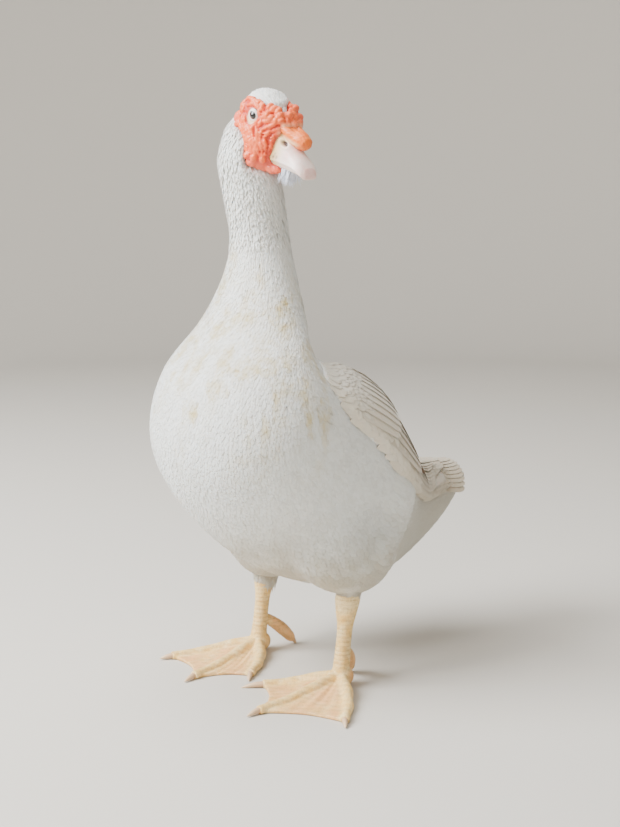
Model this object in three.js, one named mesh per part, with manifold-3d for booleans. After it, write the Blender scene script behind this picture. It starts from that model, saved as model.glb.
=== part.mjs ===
// A life-size model of a domestic muscovy duck: a heavy white drake that stands upright, its neck raised
// and its head turned to its left. It has a mask of red caruncles round each eye and across the forehead,
// a knob on the bill, folded wings of overlapping feathers, and webbed feet that stand flat on the ground.
//
// Millimetres, +Z up. The bird's body faces -Y, so its left side is +X. The origin is on the ground,
// under the middle of the whole bird.
import * as THREE from "three";
import { mergeVertices } from "three/addons/utils/BufferGeometryUtils.js";
import Module from "manifold-3d";

const wasm = await Module();
wasm.setup();

// Driving dimensions
const GAP = 0.3; // left between touching pieces
const BODY_SIDES = 24; // facets round the body and neck
const RING_STEP = 1 / 2; // rings along the body, as a share of the space between its stations
const HEAD_TURN = 88; // degrees from the body's heading to the bird's left
const HEAD_DROP = 27; // degrees that the line of the mouth points down
const HEAD_TILT = -5; // degrees that the head leans to its right
const HEAD_SIZE = 1.043; // this drake's head is a little larger than its numbers below
const EYES_MIDDLE = [27.3, -52.7, 543]; // the point between the eyes
const EYE_RADIUS = 5.6;
const EYE_OUT = 16.6; // the eyeball's centre from the head's middle plane

// The body from the tail's root to the top of the neck, as rings. y and z are a ring's middle, lean is how
// far its forward side is turned up, in degrees, and half, back and belly are its half sizes.
const BODY = [
  { y: 238, z: 168, lean: 8, half: 22, back: 8, belly: 12, square: 2.2 },
  { y: 206, z: 158, lean: 12, half: 33, back: 20, belly: 36, square: 2.2 },
  { y: 168, z: 150, lean: 17, half: 43, back: 37, belly: 55, square: 2.2 },
  { y: 130, z: 146, lean: 22, half: 57, back: 49, belly: 67, square: 2.2 },
  { y: 92, z: 152, lean: 26, half: 76, back: 69, belly: 80, square: 2.2 },
  { y: 50, z: 171, lean: 29, half: 94, back: 87, belly: 91, square: 2.2 },
  { y: 4, z: 204, lean: 32, half: 100, back: 101, belly: 101, square: 2.2 },
  { y: -42, z: 243, lean: 38, half: 101, back: 92, belly: 99, square: 2.15 },
  { y: -69, z: 283, lean: 51, half: 98, back: 72, belly: 92, square: 2.1 },
  { y: -69, z: 322, lean: 68, half: 81, back: 55, belly: 72, square: 2.05 },
  { y: -52, z: 357, lean: 80, half: 58, back: 42, belly: 46, square: 2 },
  { y: -43, z: 392, lean: 88, half: 41, back: 32, belly: 33, square: 2 },
  { y: -42, z: 430, lean: 90, half: 29, back: 27, belly: 27, square: 2 },
  { y: -49, z: 468, lean: 90, half: 29, back: 27, belly: 27, square: 2 },
  { y: -56, z: 502, lean: 90, half: 28.5, back: 27, belly: 27, square: 2 },
  { y: -55, z: 526, lean: 90, half: 21.5, back: 20, belly: 22, square: 2 },
  { y: -54, z: 546, lean: 90, half: 13, back: 13, belly: 13, square: 2 },
];
const TAIL_CUT = 1.9; // places along BODY where the nodes part
const NECK_CUT = 9.25;
const NECK_MIDDLE_CUT = 12;
const NECK_TOP = 16;

const feather = new THREE.MeshStandardMaterial({ color: 0xecebe4, roughness: 0.85 });
const flightFeather = new THREE.MeshStandardMaterial({ color: 0xf1efe8, roughness: 0.7 });
const caruncle = new THREE.MeshStandardMaterial({ color: 0xdb5a3a, roughness: 0.5 });
const knobSkin = new THREE.MeshStandardMaterial({ color: 0xe07a42, roughness: 0.5 });
const billHorn = new THREE.MeshStandardMaterial({ color: 0xe9cbc2, roughness: 0.4 });
const nailHorn = new THREE.MeshStandardMaterial({ color: 0xeed3cf, roughness: 0.35 });
const eyeGloss = new THREE.MeshStandardMaterial({ color: 0x1a1a22, roughness: 0.1 });
const lidSkin = new THREE.MeshStandardMaterial({ color: 0xf0d8cf, roughness: 0.5 });
const legScale = new THREE.MeshStandardMaterial({ color: 0xd6ab5e, roughness: 0.6 });
const clawHorn = new THREE.MeshStandardMaterial({ color: 0xc9a27c, roughness: 0.45 });

const radians = THREE.MathUtils.degToRad;
const vector = (x, y, z) => new THREE.Vector3(x, y, z);
const mix = THREE.MathUtils.lerp;
const ease = (x) => THREE.MathUtils.smoothstep(x, 0, 1);

/** A seeded source of numbers from -1 to 1, so that each build is the same. */
function seededDraw(seed) {
  let state = seed;
  return () => {
    state = (state * 16807) % 2147483647;
    return (state / 2147483647) * 2 - 1;
  };
}

/** Each named size at a fractional place along a row of stations, on a smooth curve through them. */
function sizesAt(stations, place) {
  const last = stations.length - 1;
  const i = Math.min(Math.max(Math.floor(place), 0), last - 1);
  const f = place - i;
  const [a, b, c, d] = [i - 1, i, i + 1, i + 2].map((k) => stations[Math.min(Math.max(k, 0), last)]);
  const sizes = {};
  for (const key of Object.keys(b)) {
    const slopeB = (c[key] - a[key]) / 2;
    const slopeC = (d[key] - b[key]) / 2;
    const cubic = 2 * (b[key] - c[key]) + slopeB + slopeC;
    const square = 3 * (c[key] - b[key]) - 2 * slopeB - slopeC;
    sizes[key] = ((cubic * f + square) * f + slopeB) * f + b[key];
  }
  return sizes;
}

/** A closed geometry through rings of points. A ring of one point is a tip, and a wider end ring is capped. */
function loft(rings) {
  const points = [];
  const faces = [];
  const starts = rings.map((ring) => points.push(...ring) - ring.length);
  const side = (a, b, c) => faces.push([a, b, c]);
  for (let r = 0; r < rings.length - 1; r++) {
    const [from, to] = [starts[r], starts[r + 1]];
    const count = Math.max(rings[r].length, rings[r + 1].length);
    for (let k = 0; k < count; k++) {
      const next = (k + 1) % count;
      if (rings[r].length === 1) side(from, to + next, to + k);
      else if (rings[r + 1].length === 1) side(from + k, from + next, to);
      else {
        side(from + k, from + next, to + next);
        side(from + k, to + next, to + k);
      }
    }
  }
  for (const end of [0, rings.length - 1]) {
    const ring = rings[end];
    if (ring.length === 1) continue;
    const total = ring.reduce((sum, p) => sum.add(p), vector(0, 0, 0));
    const middle = points.push(total.divideScalar(ring.length)) - 1;
    ring.forEach((_, k) => {
      const next = (k + 1) % ring.length;
      if (end === 0) side(middle, starts[end] + next, starts[end] + k);
      else side(middle, starts[end] + k, starts[end] + next);
    });
  }
  return facingOut(points, faces);
}

/** An indexed geometry of these faces, all turned round if they enclose a negative volume. */
function facingOut(points, faces) {
  const corner = ([a, b, c]) => points[a].dot(points[b].clone().cross(points[c]));
  const volume = faces.reduce((sum, face) => sum + corner(face), 0);
  const turned = volume < 0 ? faces.map(([a, b, c]) => [a, c, b]) : faces;
  const geometry = new THREE.BufferGeometry();
  geometry.setAttribute("position", new THREE.Float32BufferAttribute(points.flatMap((p) => p.toArray()), 3));
  geometry.setIndex(turned.flat());
  return geometry;
}

/** A closed geometry as a solid that can be joined and cut. */
function solidOf(geometry) {
  const bare = geometry.clone();
  bare.deleteAttribute("normal");
  bare.deleteAttribute("uv");
  const merged = mergeVertices(bare, 1e-4);
  const triVerts = new Uint32Array(merged.index.array);
  return new wasm.Manifold(
    new wasm.Mesh({ numProp: 3, vertProperties: merged.attributes.position.array, triVerts }),
  );
}

const loftSolid = (rings) => solidOf(loft(rings));
const join = (solids) => solids.reduce((sum, s) => sum.add(s));

/** The largest closed surface of a solid: it fills sealed hollows and drops loose scraps. */
function largest(solid) {
  return solid.decompose().reduce((best, s) => (s.volume() > best.volume() ? s : best));
}

/** A stretched ball. turn is an optional quaternion. */
function ball(centre, radii, { sides = 12, rings = 8, turn = null } = {}) {
  const geometry = new THREE.SphereGeometry(1, sides, rings).scale(...radii);
  if (turn) geometry.applyQuaternion(turn);
  return solidOf(geometry.translate(...centre));
}

/** Everything on the side of a plane that its normal points to, as a large block. */
function beyond(normal, point) {
  const reach = 1000;
  const block = new THREE.BoxGeometry(reach, reach, reach).translate(0, 0, reach / 2);
  const unit = normal.clone().normalize();
  block.applyQuaternion(new THREE.Quaternion().setFromUnitVectors(vector(0, 0, 1), unit));
  return solidOf(block.translate(...point));
}

/** A finished mesh of a solid, with its name and material. */
function meshOf(name, solid, material) {
  const { vertProperties, triVerts } = largest(solid).getMesh();
  const geometry = new THREE.BufferGeometry();
  geometry.setAttribute("position", new THREE.BufferAttribute(new Float32Array(vertProperties), 3));
  geometry.setIndex(new THREE.BufferAttribute(new Uint32Array(triVerts), 1));
  geometry.computeVertexNormals();
  const mesh = new THREE.Mesh(geometry, material);
  mesh.name = name;
  return mesh;
}

/** A power that keeps its number's sign, for rounded-square sections. */
const signedPower = (x, power) => Math.sign(x) * Math.abs(x) ** power;

/** A point on the body. angle is 0 on the back, 90 on the left side and 180 on the belly. */
function bodyPoint(place, angle, out = 0) {
  const s = sizesAt(BODY, place);
  const [c, n] = [Math.cos(radians(angle)), Math.sin(radians(angle))];
  const across = signedPower(n, 2 / s.square) * (s.half + out);
  const rise = signedPower(c, 2 / s.square) * ((c > 0 ? s.back : s.belly) + out);
  const lean = radians(s.lean);
  return vector(across, s.y + rise * Math.sin(lean), s.z + rise * Math.cos(lean));
}

/** The outward direction of the body's surface. */
function bodyNormal(place, angle) {
  const step = 0.05;
  const along = bodyPoint(place + step, angle).sub(bodyPoint(place - step, angle));
  const round = bodyPoint(place, angle + 3).sub(bodyPoint(place, angle - 3));
  return along.cross(round).normalize();
}

/** A length of the body, from one place to another. shift moves the first ring forward, to leave a gap. */
function bodyLength(from, to, { out = 0, shift = 0 } = {}) {
  const places = [from];
  for (let step = Math.floor(from / RING_STEP) + 1; step * RING_STEP < to - 0.05; step++) {
    if (step * RING_STEP > from + 0.05) places.push(step * RING_STEP);
  }
  places.push(to);
  const rings = places.map((place, r) => {
    const ring = [];
    for (let k = 0; k < BODY_SIDES; k++) ring.push(bodyPoint(place, (k * 360) / BODY_SIDES, out));
    if (r === 0 && shift) {
      const lean = radians(sizesAt(BODY, place).lean);
      ring.forEach((p) => p.add(vector(0, -Math.cos(lean), Math.sin(lean)).multiplyScalar(shift)));
    }
    return ring;
  });
  return loftSolid(rings);
}

/**
 * One feather as a thin, curved vane through stations. Each station has its point, the direction across the
 * vane, its outward normal, its width and its thickness. The last station is drawn to a blunt tip.
 */
function vane(stations) {
  const rings = stations.map(({ point, across, normal, width, thick, droop = 0 }) => {
    const at = (share, up) =>
      point
        .clone()
        .addScaledVector(across, (share * width) / 2)
        .addScaledVector(normal, up * thick - (share === 0 ? 0 : droop));
    return [at(-1, 0.5), at(0, 0.7), at(1, 0.5), at(1, -0.5), at(0, -0.3), at(-1, -0.5)];
  });
  return loftSolid(rings);
}

const VANE_OUTLINE = [0.6, 1, 0.94, 0.36]; // share of the full width from root to tip
const COVERT_OUTLINE = [0.7, 1, 0.86, 0.36];

// Wings

const WING = { frontPlace: 8.05, rearPlace: 1.15, sink: 2, radius: 80 };
// The wing's upper and lower edge, in degrees round the body, and its thickness, from front to rear.
const WING_EDGES = [
  { upper: 36, lower: 57, thick: 1.5 },
  { upper: 22, lower: 68, thick: 4 },
  { upper: 14, lower: 70, thick: 3.5 },
  { upper: 11, lower: 69, thick: 2 },
  { upper: 11, lower: 70, thick: 1.5 },
  { upper: 12, lower: 72, thick: 1.5 },
  { upper: 15, lower: 60, thick: 1.5 },
];
const WING_END = 0.88; // share of the wing's length that its padded base fills
// The tiers of feathers, lowest first. span is where a feather starts and ends, as shares of the wing's
// length, angles are the first and last root in degrees round the body, converge pulls the tips towards the
// back, and lift is the height over the wing's own surface.
const TIERS = [
  { outline: VANE_OUTLINE, count: 3, span: [0.6, 0.99], angles: [28, 58], converge: 20, width: 25, lift: 2.6 },
  { outline: VANE_OUTLINE, count: 4, span: [0.42, 0.86], angles: [31, 64], converge: 6, width: 27, lift: 5 },
  { outline: VANE_OUTLINE, count: 2, span: [0.36, 0.9], angles: [17, 27], converge: 1, width: 24, lift: 8.2 },
  { outline: COVERT_OUTLINE, count: 3, span: [0.27, 0.56], angles: [37, 61], converge: 4, width: 30, lift: 6.8 },
  { outline: COVERT_OUTLINE, count: 3, span: [0.1, 0.38], angles: [24, 56], converge: 0, width: 36, lift: 9 },
];
const VANE_THICK = 0.6;
const VANE_TILT = 5; // degrees that each vane's lower edge is under its neighbour

/** How far the wing's tips ride clear of the rump. */
const tipLift = (u) => 7 * ease((u - 0.55) / 0.45);

/** The height of the wing's padded base over the body. */
function wingHeight(u, angle) {
  const edge = sizesAt(WING_EDGES, Math.min(u, 1) * (WING_EDGES.length - 1));
  const share = THREE.MathUtils.clamp((angle - edge.upper) / (edge.lower - edge.upper), 0, 1);
  const crown = Math.sqrt(Math.max(0, 1 - (2 * share - 1) ** 4));
  const end = Math.min(1, u / 0.13, Math.max(0, (WING_END - u) / 0.13));
  return mix(0.4, edge.thick, crown * end);
}

/** A point over the left wing's base surface, and the frame there. u runs from front to rear. */
function wingFrame(u, angle, height) {
  const place = mix(WING.frontPlace, WING.rearPlace, u);
  const normal = bodyNormal(place, angle);
  const point = bodyPoint(place, angle).addScaledVector(normal, height + tipLift(u));
  const across = bodyPoint(place, angle + 4).sub(bodyPoint(place, angle - 4)).normalize();
  return { point, normal, across };
}

/** The padded base of the left wing, from inside the body to the wing's own surface. */
function wingBase(cutter) {
  const [along, round] = [6, 4];
  const rings = [];
  for (let r = 0; r <= along; r++) {
    const u = (r / along) * WING_END;
    const edge = sizesAt(WING_EDGES, u * (WING_EDGES.length - 1));
    const angleAt = (k) => mix(edge.upper, edge.lower, k / round);
    const ring = [];
    for (let k = 0; k <= round; k++) ring.push(wingFrame(u, angleAt(k), wingHeight(u, angleAt(k))).point);
    const under = 6 * ease((u - 0.7) / 0.2) - WING.sink - tipLift(u);
    for (let k = round; k >= 0; k--) ring.push(wingFrame(u, angleAt(k), under).point);
    rings.push(ring);
  }
  return loftSolid(rings).subtract(cutter);
}

/** One feather of a tier. share runs from the back's side of the tier to its lowest feather. */
function wingFeather(tier, share, draw) {
  const { outline, span, angles } = tier;
  const root = mix(angles[0], angles[1], share);
  const reach = span[1] - 0.05 * share + 0.008 * draw();
  return vane(
    outline.map((wide, s) => {
      const t = s / (outline.length - 1);
      const u = mix(span[0], reach, t);
      const angle = root - tier.converge * share * ease(t) - tier.converge * 0.4 * t;
      const sunk = s === 0 ? -tier.lift - 2 : 0;
      const { point, normal, across } = wingFrame(u, angle, wingHeight(u, angle) + tier.lift + sunk);
      const along = normal.clone().cross(across).normalize();
      const tilt = new THREE.Quaternion().setFromAxisAngle(along, radians(-VANE_TILT));
      across.applyQuaternion(tilt);
      const width = tier.width * wide;
      return { point, across, normal, width, thick: VANE_THICK, droop: width ** 2 / (8 * WING.radius) };
    }),
  );
}

/** All of the left wing's feathers, tier by tier. */
function wingFeathers(draw) {
  return TIERS.flatMap((tier) =>
    Array.from({ length: tier.count }, (_, i) => wingFeather(tier, i / (tier.count - 1), draw)),
  );
}

/** A whole left wing in the body's frame. */
function leftWing(cutter) {
  const base = wingBase(cutter);
  return join([base, ...wingFeathers(seededDraw(11))]).subtract(cutter).subtract(fanShape(GAP));
}

// Tail

const TAIL = {
  pairs: 5, // on each side of the middle
  root: [0, 166, 190],
  length: 70,
  spread: 25, // degrees from the middle to the outermost feather
  roof: 26, // how much lower the outermost tip is
  drop: 3, // degrees that the middle feathers point down
  width: 23,
};

/** A smooth shape round the whole fan, grown by out. */
function fanShape(out) {
  return loftSolid(
    [-0.2, 0.1, 0.4, 0.7, 1].map((t) => {
      const arc = [];
      for (const up of [1, -1]) {
        for (let k = -4; k <= 4; k++) {
          const share = (k * up) / 4;
          const reach = t * (TAIL.length - 14 * share * share) + (t === 1 ? out : 0);
          const heading = radians(TAIL.spread * share);
          const roof = TAIL.roof * share * share * (0.55 + 0.45 * t);
          const across = 20 * share + Math.sin(heading) * reach + Math.sign(share) * (4 + out);
          const z = TAIL.root[2] - roof - reach * Math.tan(radians(TAIL.drop)) + up * (mix(4.5, 2, t) + out);
          arc.push(vector(across, TAIL.root[1] + Math.cos(heading) * reach, z));
        }
      }
      return arc;
    }),
  );
}

/** The tail's fan, roofed: the middle feathers on top and each next one lower. */
function tailFan() {
  const feathers = [];
  for (let i = -TAIL.pairs; i <= TAIL.pairs; i++) {
    const share = i / TAIL.pairs;
    const heading = radians(TAIL.spread * share);
    const drop = radians(TAIL.drop + 5 * share * share);
    const along = vector(
      Math.sin(heading) * Math.cos(drop),
      Math.cos(heading) * Math.cos(drop),
      -Math.sin(drop),
    );
    const bank = radians(38 * share);
    const across = vector(Math.cos(bank), 0, -Math.sin(bank));
    across.addScaledVector(along, -across.dot(along)).normalize();
    const normal = across.clone().cross(along).normalize();
    const start = vector(...TAIL.root).add(
      vector(20 * share, -4 * share * share, -(TAIL.roof * 0.55) * share * share - Math.abs(i) * 0.9),
    );
    const length = TAIL.length - 14 * share * share;
    feathers.push(
      vane(
        VANE_OUTLINE.map((wide, s) => {
          const t = s / (VANE_OUTLINE.length - 1);
          const point = start.clone().addScaledVector(along, t * length);
          point.z -= TAIL.roof * 0.45 * share * share * t - 3 * Math.sin(t * Math.PI) * (1 - share * share);
          return { point, across, normal, width: TAIL.width * wide, thick: 1, droop: 0.6 };
        }),
      ),
    );
  }
  return feathers;
}

/** Coverts that lie over the tail's root, or under it. */
function tailCoverts(under) {
  const feathers = [];
  const rows = under
    ? [{ count: 3, place: 1.55, reach: 42, width: 30, turn: 180, spread: 24 }]
    : [
        { count: 3, place: 1.15, reach: 38, width: 28, turn: 0, spread: 18 },
        { count: 2, place: 1.6, reach: 32, width: 30, turn: 0, spread: 12 },
      ];
  for (const row of rows) {
    for (let i = 0; i < row.count; i++) {
      const share = (2 * i) / (row.count - 1) - 1;
      const angle = row.turn + row.spread * share * (under ? -1.5 : 1.2);
      const root = bodyPoint(row.place, angle, -4);
      const normal = bodyNormal(row.place, angle);
      const back = bodyPoint(row.place - 0.35, angle).sub(bodyPoint(row.place, angle)).normalize();
      const lift = under ? 0.16 : 0.2;
      back.addScaledVector(normal, lift).normalize();
      const across = back.clone().cross(normal).normalize();
      feathers.push(
        vane(
          COVERT_OUTLINE.map((wide, s) => {
            const t = s / (COVERT_OUTLINE.length - 1);
            const point = root.clone().addScaledVector(back, t * row.reach);
            return { point, across, normal, width: row.width * wide, thick: 1, droop: 0.8 };
          }),
        ),
      );
    }
  }
  return feathers;
}

/** The tail's fleshy root with its fan and coverts. */
function tail() {
  const root = bodyLength(0.35, TAIL_CUT);
  const behind = bodyPoint(TAIL_CUT, 0).sub(bodyPoint(TAIL_CUT, 180)).cross(vector(1, 0, 0));
  const front = sizesAt(BODY, TAIL_CUT);
  if (behind.y > 0) behind.negate();
  const ahead = beyond(behind, [0, front.y, front.z]);
  return join([root, ...tailFan(), ...tailCoverts(false), ...tailCoverts(true)]).subtract(ahead);
}

// Head. Its own frame has the middle of the eyes at the origin, -Y ahead along the mouth and +Z up.

// Balls that blend into the feathered head: middle [x, ahead, z] and half sizes.
const HEAD_BALLS = [
  { at: [0, -5, -3], radii: [19, 24, 17.5] }, // crown
  { at: [0, 12, -7], radii: [14, 16, 17] }, // forehead
  { at: [9.5, 3, -22], radii: [12, 22, 18] }, // left cheek
  { at: [-9.5, 3, -22], radii: [12, 22, 18] }, // right cheek
  { at: [0, -14, -33], radii: [22.5, 20.5, 24] }, // nape
  { at: [0, 16, -30], radii: [12, 24, 8.5] }, // chin
];
const HEAD_BLEND = 7;
const HEAD_MIDDLE = [0, -6, -15];

/** Distance to a stretched ball, near enough for blending. */
function ballDistance(p, { at, radii }) {
  const scaled = p.map((x, i) => (x - at[i]) / radii[i]);
  const far = Math.hypot(...scaled);
  const slope = Math.hypot(...scaled.map((x, i) => x / radii[i]));
  return slope < 1e-9 ? -Math.min(...radii) : (far * (far - 1)) / slope;
}

/** Distance to the blended head at [x, ahead, z]. */
function headDistance(p) {
  let best = 1e9;
  for (const piece of HEAD_BALLS) {
    const next = ballDistance(p, piece);
    const h = Math.max(HEAD_BLEND - Math.abs(best - next), 0) / HEAD_BLEND;
    best = Math.min(best, next) - (h * h * HEAD_BLEND) / 4;
  }
  return best;
}

/** Where a ray from a point inside the head leaves its surface, grown by out. */
function headExit(from, direction, out = 0) {
  let [near, far] = [0, 90];
  for (let i = 0; i < 26; i++) {
    const middle = (near + far) / 2;
    const inside = headDistance(from.map((x, k) => x + direction[k] * middle)) < out;
    if (inside) near = middle;
    else far = middle;
  }
  return from.map((x, k) => x + direction[k] * near);
}

/** The head's outward direction at [x, ahead, z]. */
function headNormal(p) {
  const step = 0.3;
  const slope = [0, 1, 2].map((k) => {
    const [high, low] = [[...p], [...p]];
    high[k] += step;
    low[k] -= step;
    return headDistance(high) - headDistance(low);
  });
  const size = Math.hypot(...slope);
  return slope.map((x) => x / size);
}

/** [x, ahead, z] as a vector of the head's frame. */
const ahead = ([x, a, z]) => vector(x, -a, z);

/** The feathered head's own shape, grown by out. */
function headShape(out, rings = 12, sides = 18) {
  const made = [];
  for (let r = 0; r <= rings; r++) {
    const polar = (Math.PI * r) / rings;
    const count = r === 0 || r === rings ? 1 : sides;
    const ring = [];
    for (let k = 0; k < count; k++) {
      const round = (2 * Math.PI * k) / sides;
      const wide = Math.sin(polar);
      const direction = [wide * Math.sin(round), Math.cos(polar), wide * Math.cos(round)];
      ring.push(ahead(headExit(HEAD_MIDDLE, direction, out)));
    }
    made.push(ring);
  }
  return loftSolid(made);
}

/** The surface of the head's side at a place seen from the side. side is 1 on the left and -1 on the right. */
const cheekAt = (a, z, side) => headExit([0, a, z], [side, 0, 0]);
/** The surface of the head's top at a place seen from above. */
const crownAt = (x, a) => headExit([x, a, -14], [0, 0, 1]);

/**
 * A bulb or fold of caruncle: a stretched ball that is half sunk in the face. long, wide and high are half
 * sizes, and heading turns its long side, in degrees from straight ahead towards the crown.
 */
function lump(at, { long, wide, high, heading }, out) {
  const normal = ahead(headNormal(at));
  const forward = vector(0, -Math.cos(radians(heading)), Math.sin(radians(heading)));
  forward.addScaledVector(normal, -forward.dot(normal)).normalize();
  const across = normal.clone().cross(forward);
  const turn = new THREE.Quaternion().setFromRotationMatrix(
    new THREE.Matrix4().makeBasis(forward, across, normal),
  );
  const centre = ahead(at).addScaledVector(normal, MASK.thick * 0.55);
  return ball(centre.toArray(), [long + out, wide + out, high + out], { sides: 6, rings: 4, turn });
}

// The mask of bare skin seen from the side, as [ahead, z] round its edge.
const MASK = { thick: 2.6, split: 6 };
const MASK_EDGE = [
  [-9, 13], [-15, 10.5], [-18, 5], [-18.5, -3], [-19, -11], [-13, -18], [-8, -24], [-4, -31], [-1, -38],
  [4, -42], [14, -43.5], [25, -42.5], [34, -39], [34, -35], [30, -31], [27, -22], [26.5, -13], [28, -5],
  [30, 4], [22, 15], [12, 20], [3, 19], [-3, 15],
];

/** The lumps of one side of the face, each grown by out. */
function faceLumps(side, draw, out) {
  const lumps = [];
  const put = (a, z, sizes) => lumps.push(lump(cheekAt(a, z, side), sizes, out));
  // Long folds hang from under the eye to the jowl.
  for (const [a, z] of [[-10, -16], [1, -22], [12, -24], [22, -19]]) {
    put(a + draw(), z + draw(), { long: 10.5, wide: 4.2, high: 3.4, heading: 98 - 0.5 * a });
  }
  // The jowl's bulbs lie along the mask's lower edge.
  for (const a of [8, 19, 30]) {
    put(a, -35.5 - 0.05 * a, { long: 6.2, wide: 4, high: 4, heading: 10 + 10 * draw() });
  }
  // The brow's bulbs arch over the eye.
  for (const [a, z] of [[-10, 6.5], [1, 11.5]]) {
    put(a, z, { long: 6, wide: 3.8, high: 3.4, heading: 40 - 6 * a });
  }
  // Larger ones stand out from the brow down to the bill.
  for (const [a, z] of [[10, 9.5], [17, 4.5], [24, -3]]) {
    put(a, z, { long: 6, wide: 5, high: 7, heading: 50 + 20 * draw() });
  }
  // One bulb stands out behind the eye.
  put(-18, -10, { long: 5, wide: 3.4, high: 4.6, heading: 80 });
  return lumps;
}

/** The lumps across the forehead, in rows from one brow to the other, each grown by out. */
function foreheadLumps(draw, out) {
  const lumps = [];
  for (const [row, a] of [9.5, 15.5, 21.5].entries()) {
    for (const x of [-3, 3]) {
      const sizes = { long: 4.4, wide: 3, high: 3.6 - 0.3 * row, heading: 20 * draw() };
      lumps.push(lump(crownAt(x, a + 1.2 * draw()), sizes, out));
    }
  }
  return lumps;
}

/** One side of the mask, grown by out and not yet fitted to what it touches. */
function faceShape(side, out = 0) {
  const near = MASK.split + GAP / 2 - out;
  const [from, to] = side > 0 ? [near, 60] : [-60, -near];
  const plate = headShape(MASK.thick + out, 11, 16).intersect(maskBlock(from, to, out));
  const middle = beyond(vector(-side, 0, 0), [side * near, 0, 0]);
  return join([plate, ...faceLumps(side, seededDraw(side > 0 ? 31 : 32), out)]).subtract(middle);
}

/** The mask's middle, across the forehead, grown by out and not yet fitted to what it touches. */
function foreheadShape(out = 0) {
  const half = MASK.split - GAP / 2 + out;
  const plate = headShape(MASK.thick + out, 11, 16).intersect(maskBlock(-half, half, out));
  return join([plate, ...foreheadLumps(seededDraw(7), out)])
    .subtract(beyond(vector(1, 0, 0), [half, 0, 0]))
    .subtract(beyond(vector(-1, 0, 0), [-half, 0, 0]));
}

/** The mask's edge, grown by out, as a block that runs across the head between two x. */
function maskBlock(from, to, out) {
  const grown = 1 + out / 28;
  const shape = new THREE.Shape(
    MASK_EDGE.map(([a, z]) => new THREE.Vector2(7 + (a - 7) * grown, -8 + (z + 8) * grown)),
  );
  const block = new THREE.ExtrudeGeometry(shape, { depth: to - from, bevelEnabled: false });
  block.applyMatrix4(
    new THREE.Matrix4().makeBasis(vector(0, -1, 0), vector(0, 0, 1), vector(-1, 0, 0)),
  );
  return solidOf(block.translate(to, 0, 0));
}

// The bill from inside the face to its tip, as rings. a is how far ahead, top and mouth are heights, half is
// the half width, and under is the lower bill's lowest height.
const BILL = [
  { a: 12, top: 3, mouth: -31.5, half: 12, under: -38 },
  { a: 26, top: -4, mouth: -31, half: 12.6, under: -36.6 },
  { a: 37, top: -13, mouth: -29.9, half: 12.2, under: -34.4 },
  { a: 47.5, top: -17.6, mouth: -28.8, half: 11.7, under: -32.6 },
  { a: 58, top: -21.4, mouth: -27.7, half: 11.3, under: -30.8 },
  { a: 66, top: -23.8, mouth: -27.2, half: 9.6, under: -29.2 },
  { a: 70, top: -25.6, mouth: -27.5, half: 6.2, under: -28.6 },
];
const MOUTH_GAP = 0.8;
const NAIL = { at: [0, 69, -26.4], radii: [7, 8.4, 7.6] };
const NOSTRIL = { a: 36, z: -11.8, out: 7.6, depth: 2.8 };
const KNOB = { at: [1.5, 42.5, -4.5], radii: [10, 9.4, 8.2] };

/** One half of the bill. Its rings are rounded over the ridge, and flat along the mouth. */
function billHalf(upper, out = 0) {
  const [count, steps] = [14, 10];
  const rings = [];
  const last = BILL.length - 1 - (upper ? 0 : 0.55);
  for (let i = 0; i <= steps; i++) {
    const s = sizesAt(BILL, (i / steps) * last);
    const [mouth, edge] = upper ? [s.mouth + MOUTH_GAP / 2, s.top] : [s.mouth - MOUTH_GAP / 2, s.under];
    const half = upper ? s.half : s.half * 0.88;
    const ring = [];
    for (let k = 0; k < count; k++) {
      const round = (2 * Math.PI * k) / count;
      const rise = Math.sin(round);
      const height = Math.abs(edge - mouth) + out;
      const z = rise > 0 ? mouth + Math.sign(edge - mouth) * signedPower(rise, 0.9) * height : mouth;
      const flat = rise > 0 ? 0 : -rise * (0.6 + out) * Math.sign(edge - mouth);
      const x = signedPower(Math.cos(round), 0.75) * (half + out);
      ring.push(ahead([x, s.a + (i === steps ? out : 0), z - flat * 0.4]));
    }
    rings.push(ring);
  }
  return loftSolid(rings);
}

/** A soft lock of feathers on the head, as a vane that leaves the surface at its root. */
function headLock(at, { reach, width, lie, lift, thick = 1 }) {
  const normal = ahead(headNormal(at));
  const along = ahead(lie).normalize();
  along.addScaledVector(normal, -along.dot(normal)).normalize();
  const across = along.clone().cross(normal).normalize();
  const start = ahead(at).addScaledVector(normal, -1.5);
  return vane(
    COVERT_OUTLINE.map((wide, s) => {
      const t = s / (COVERT_OUTLINE.length - 1);
      const down = lift.curl * t * t * reach;
      const point = start
        .clone()
        .addScaledVector(along, t * reach)
        .addScaledVector(normal, lift.rise * t - down);
      return { point, across, normal, width: width * wide, thick: mix(thick, 0.6, t), droop: 0.4 };
    }),
  );
}

/** The low crest: rows of locks that lie back over the crown. */
function crest(draw) {
  const locks = [];
  for (const [row, a] of [1, -11].entries()) {
    for (const k of [-1, 0, 1]) {
      const at = crownAt(k * 7 + draw() * 0.5, a);
      const lift = { rise: 3.4, curl: 0.03 };
      locks.push(headLock(at, { reach: 18 + draw(), width: 11, lie: [k * 0.1, -1, -0.2 * row], lift }));
    }
  }
  const cap = headShape(1.1, 10, 14).intersect(
    ball(ahead([0, -7, 16]).toArray(), [12, 19, 9], { sides: 10, rings: 6 }),
  );
  return join([cap, ...locks]);
}

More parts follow.
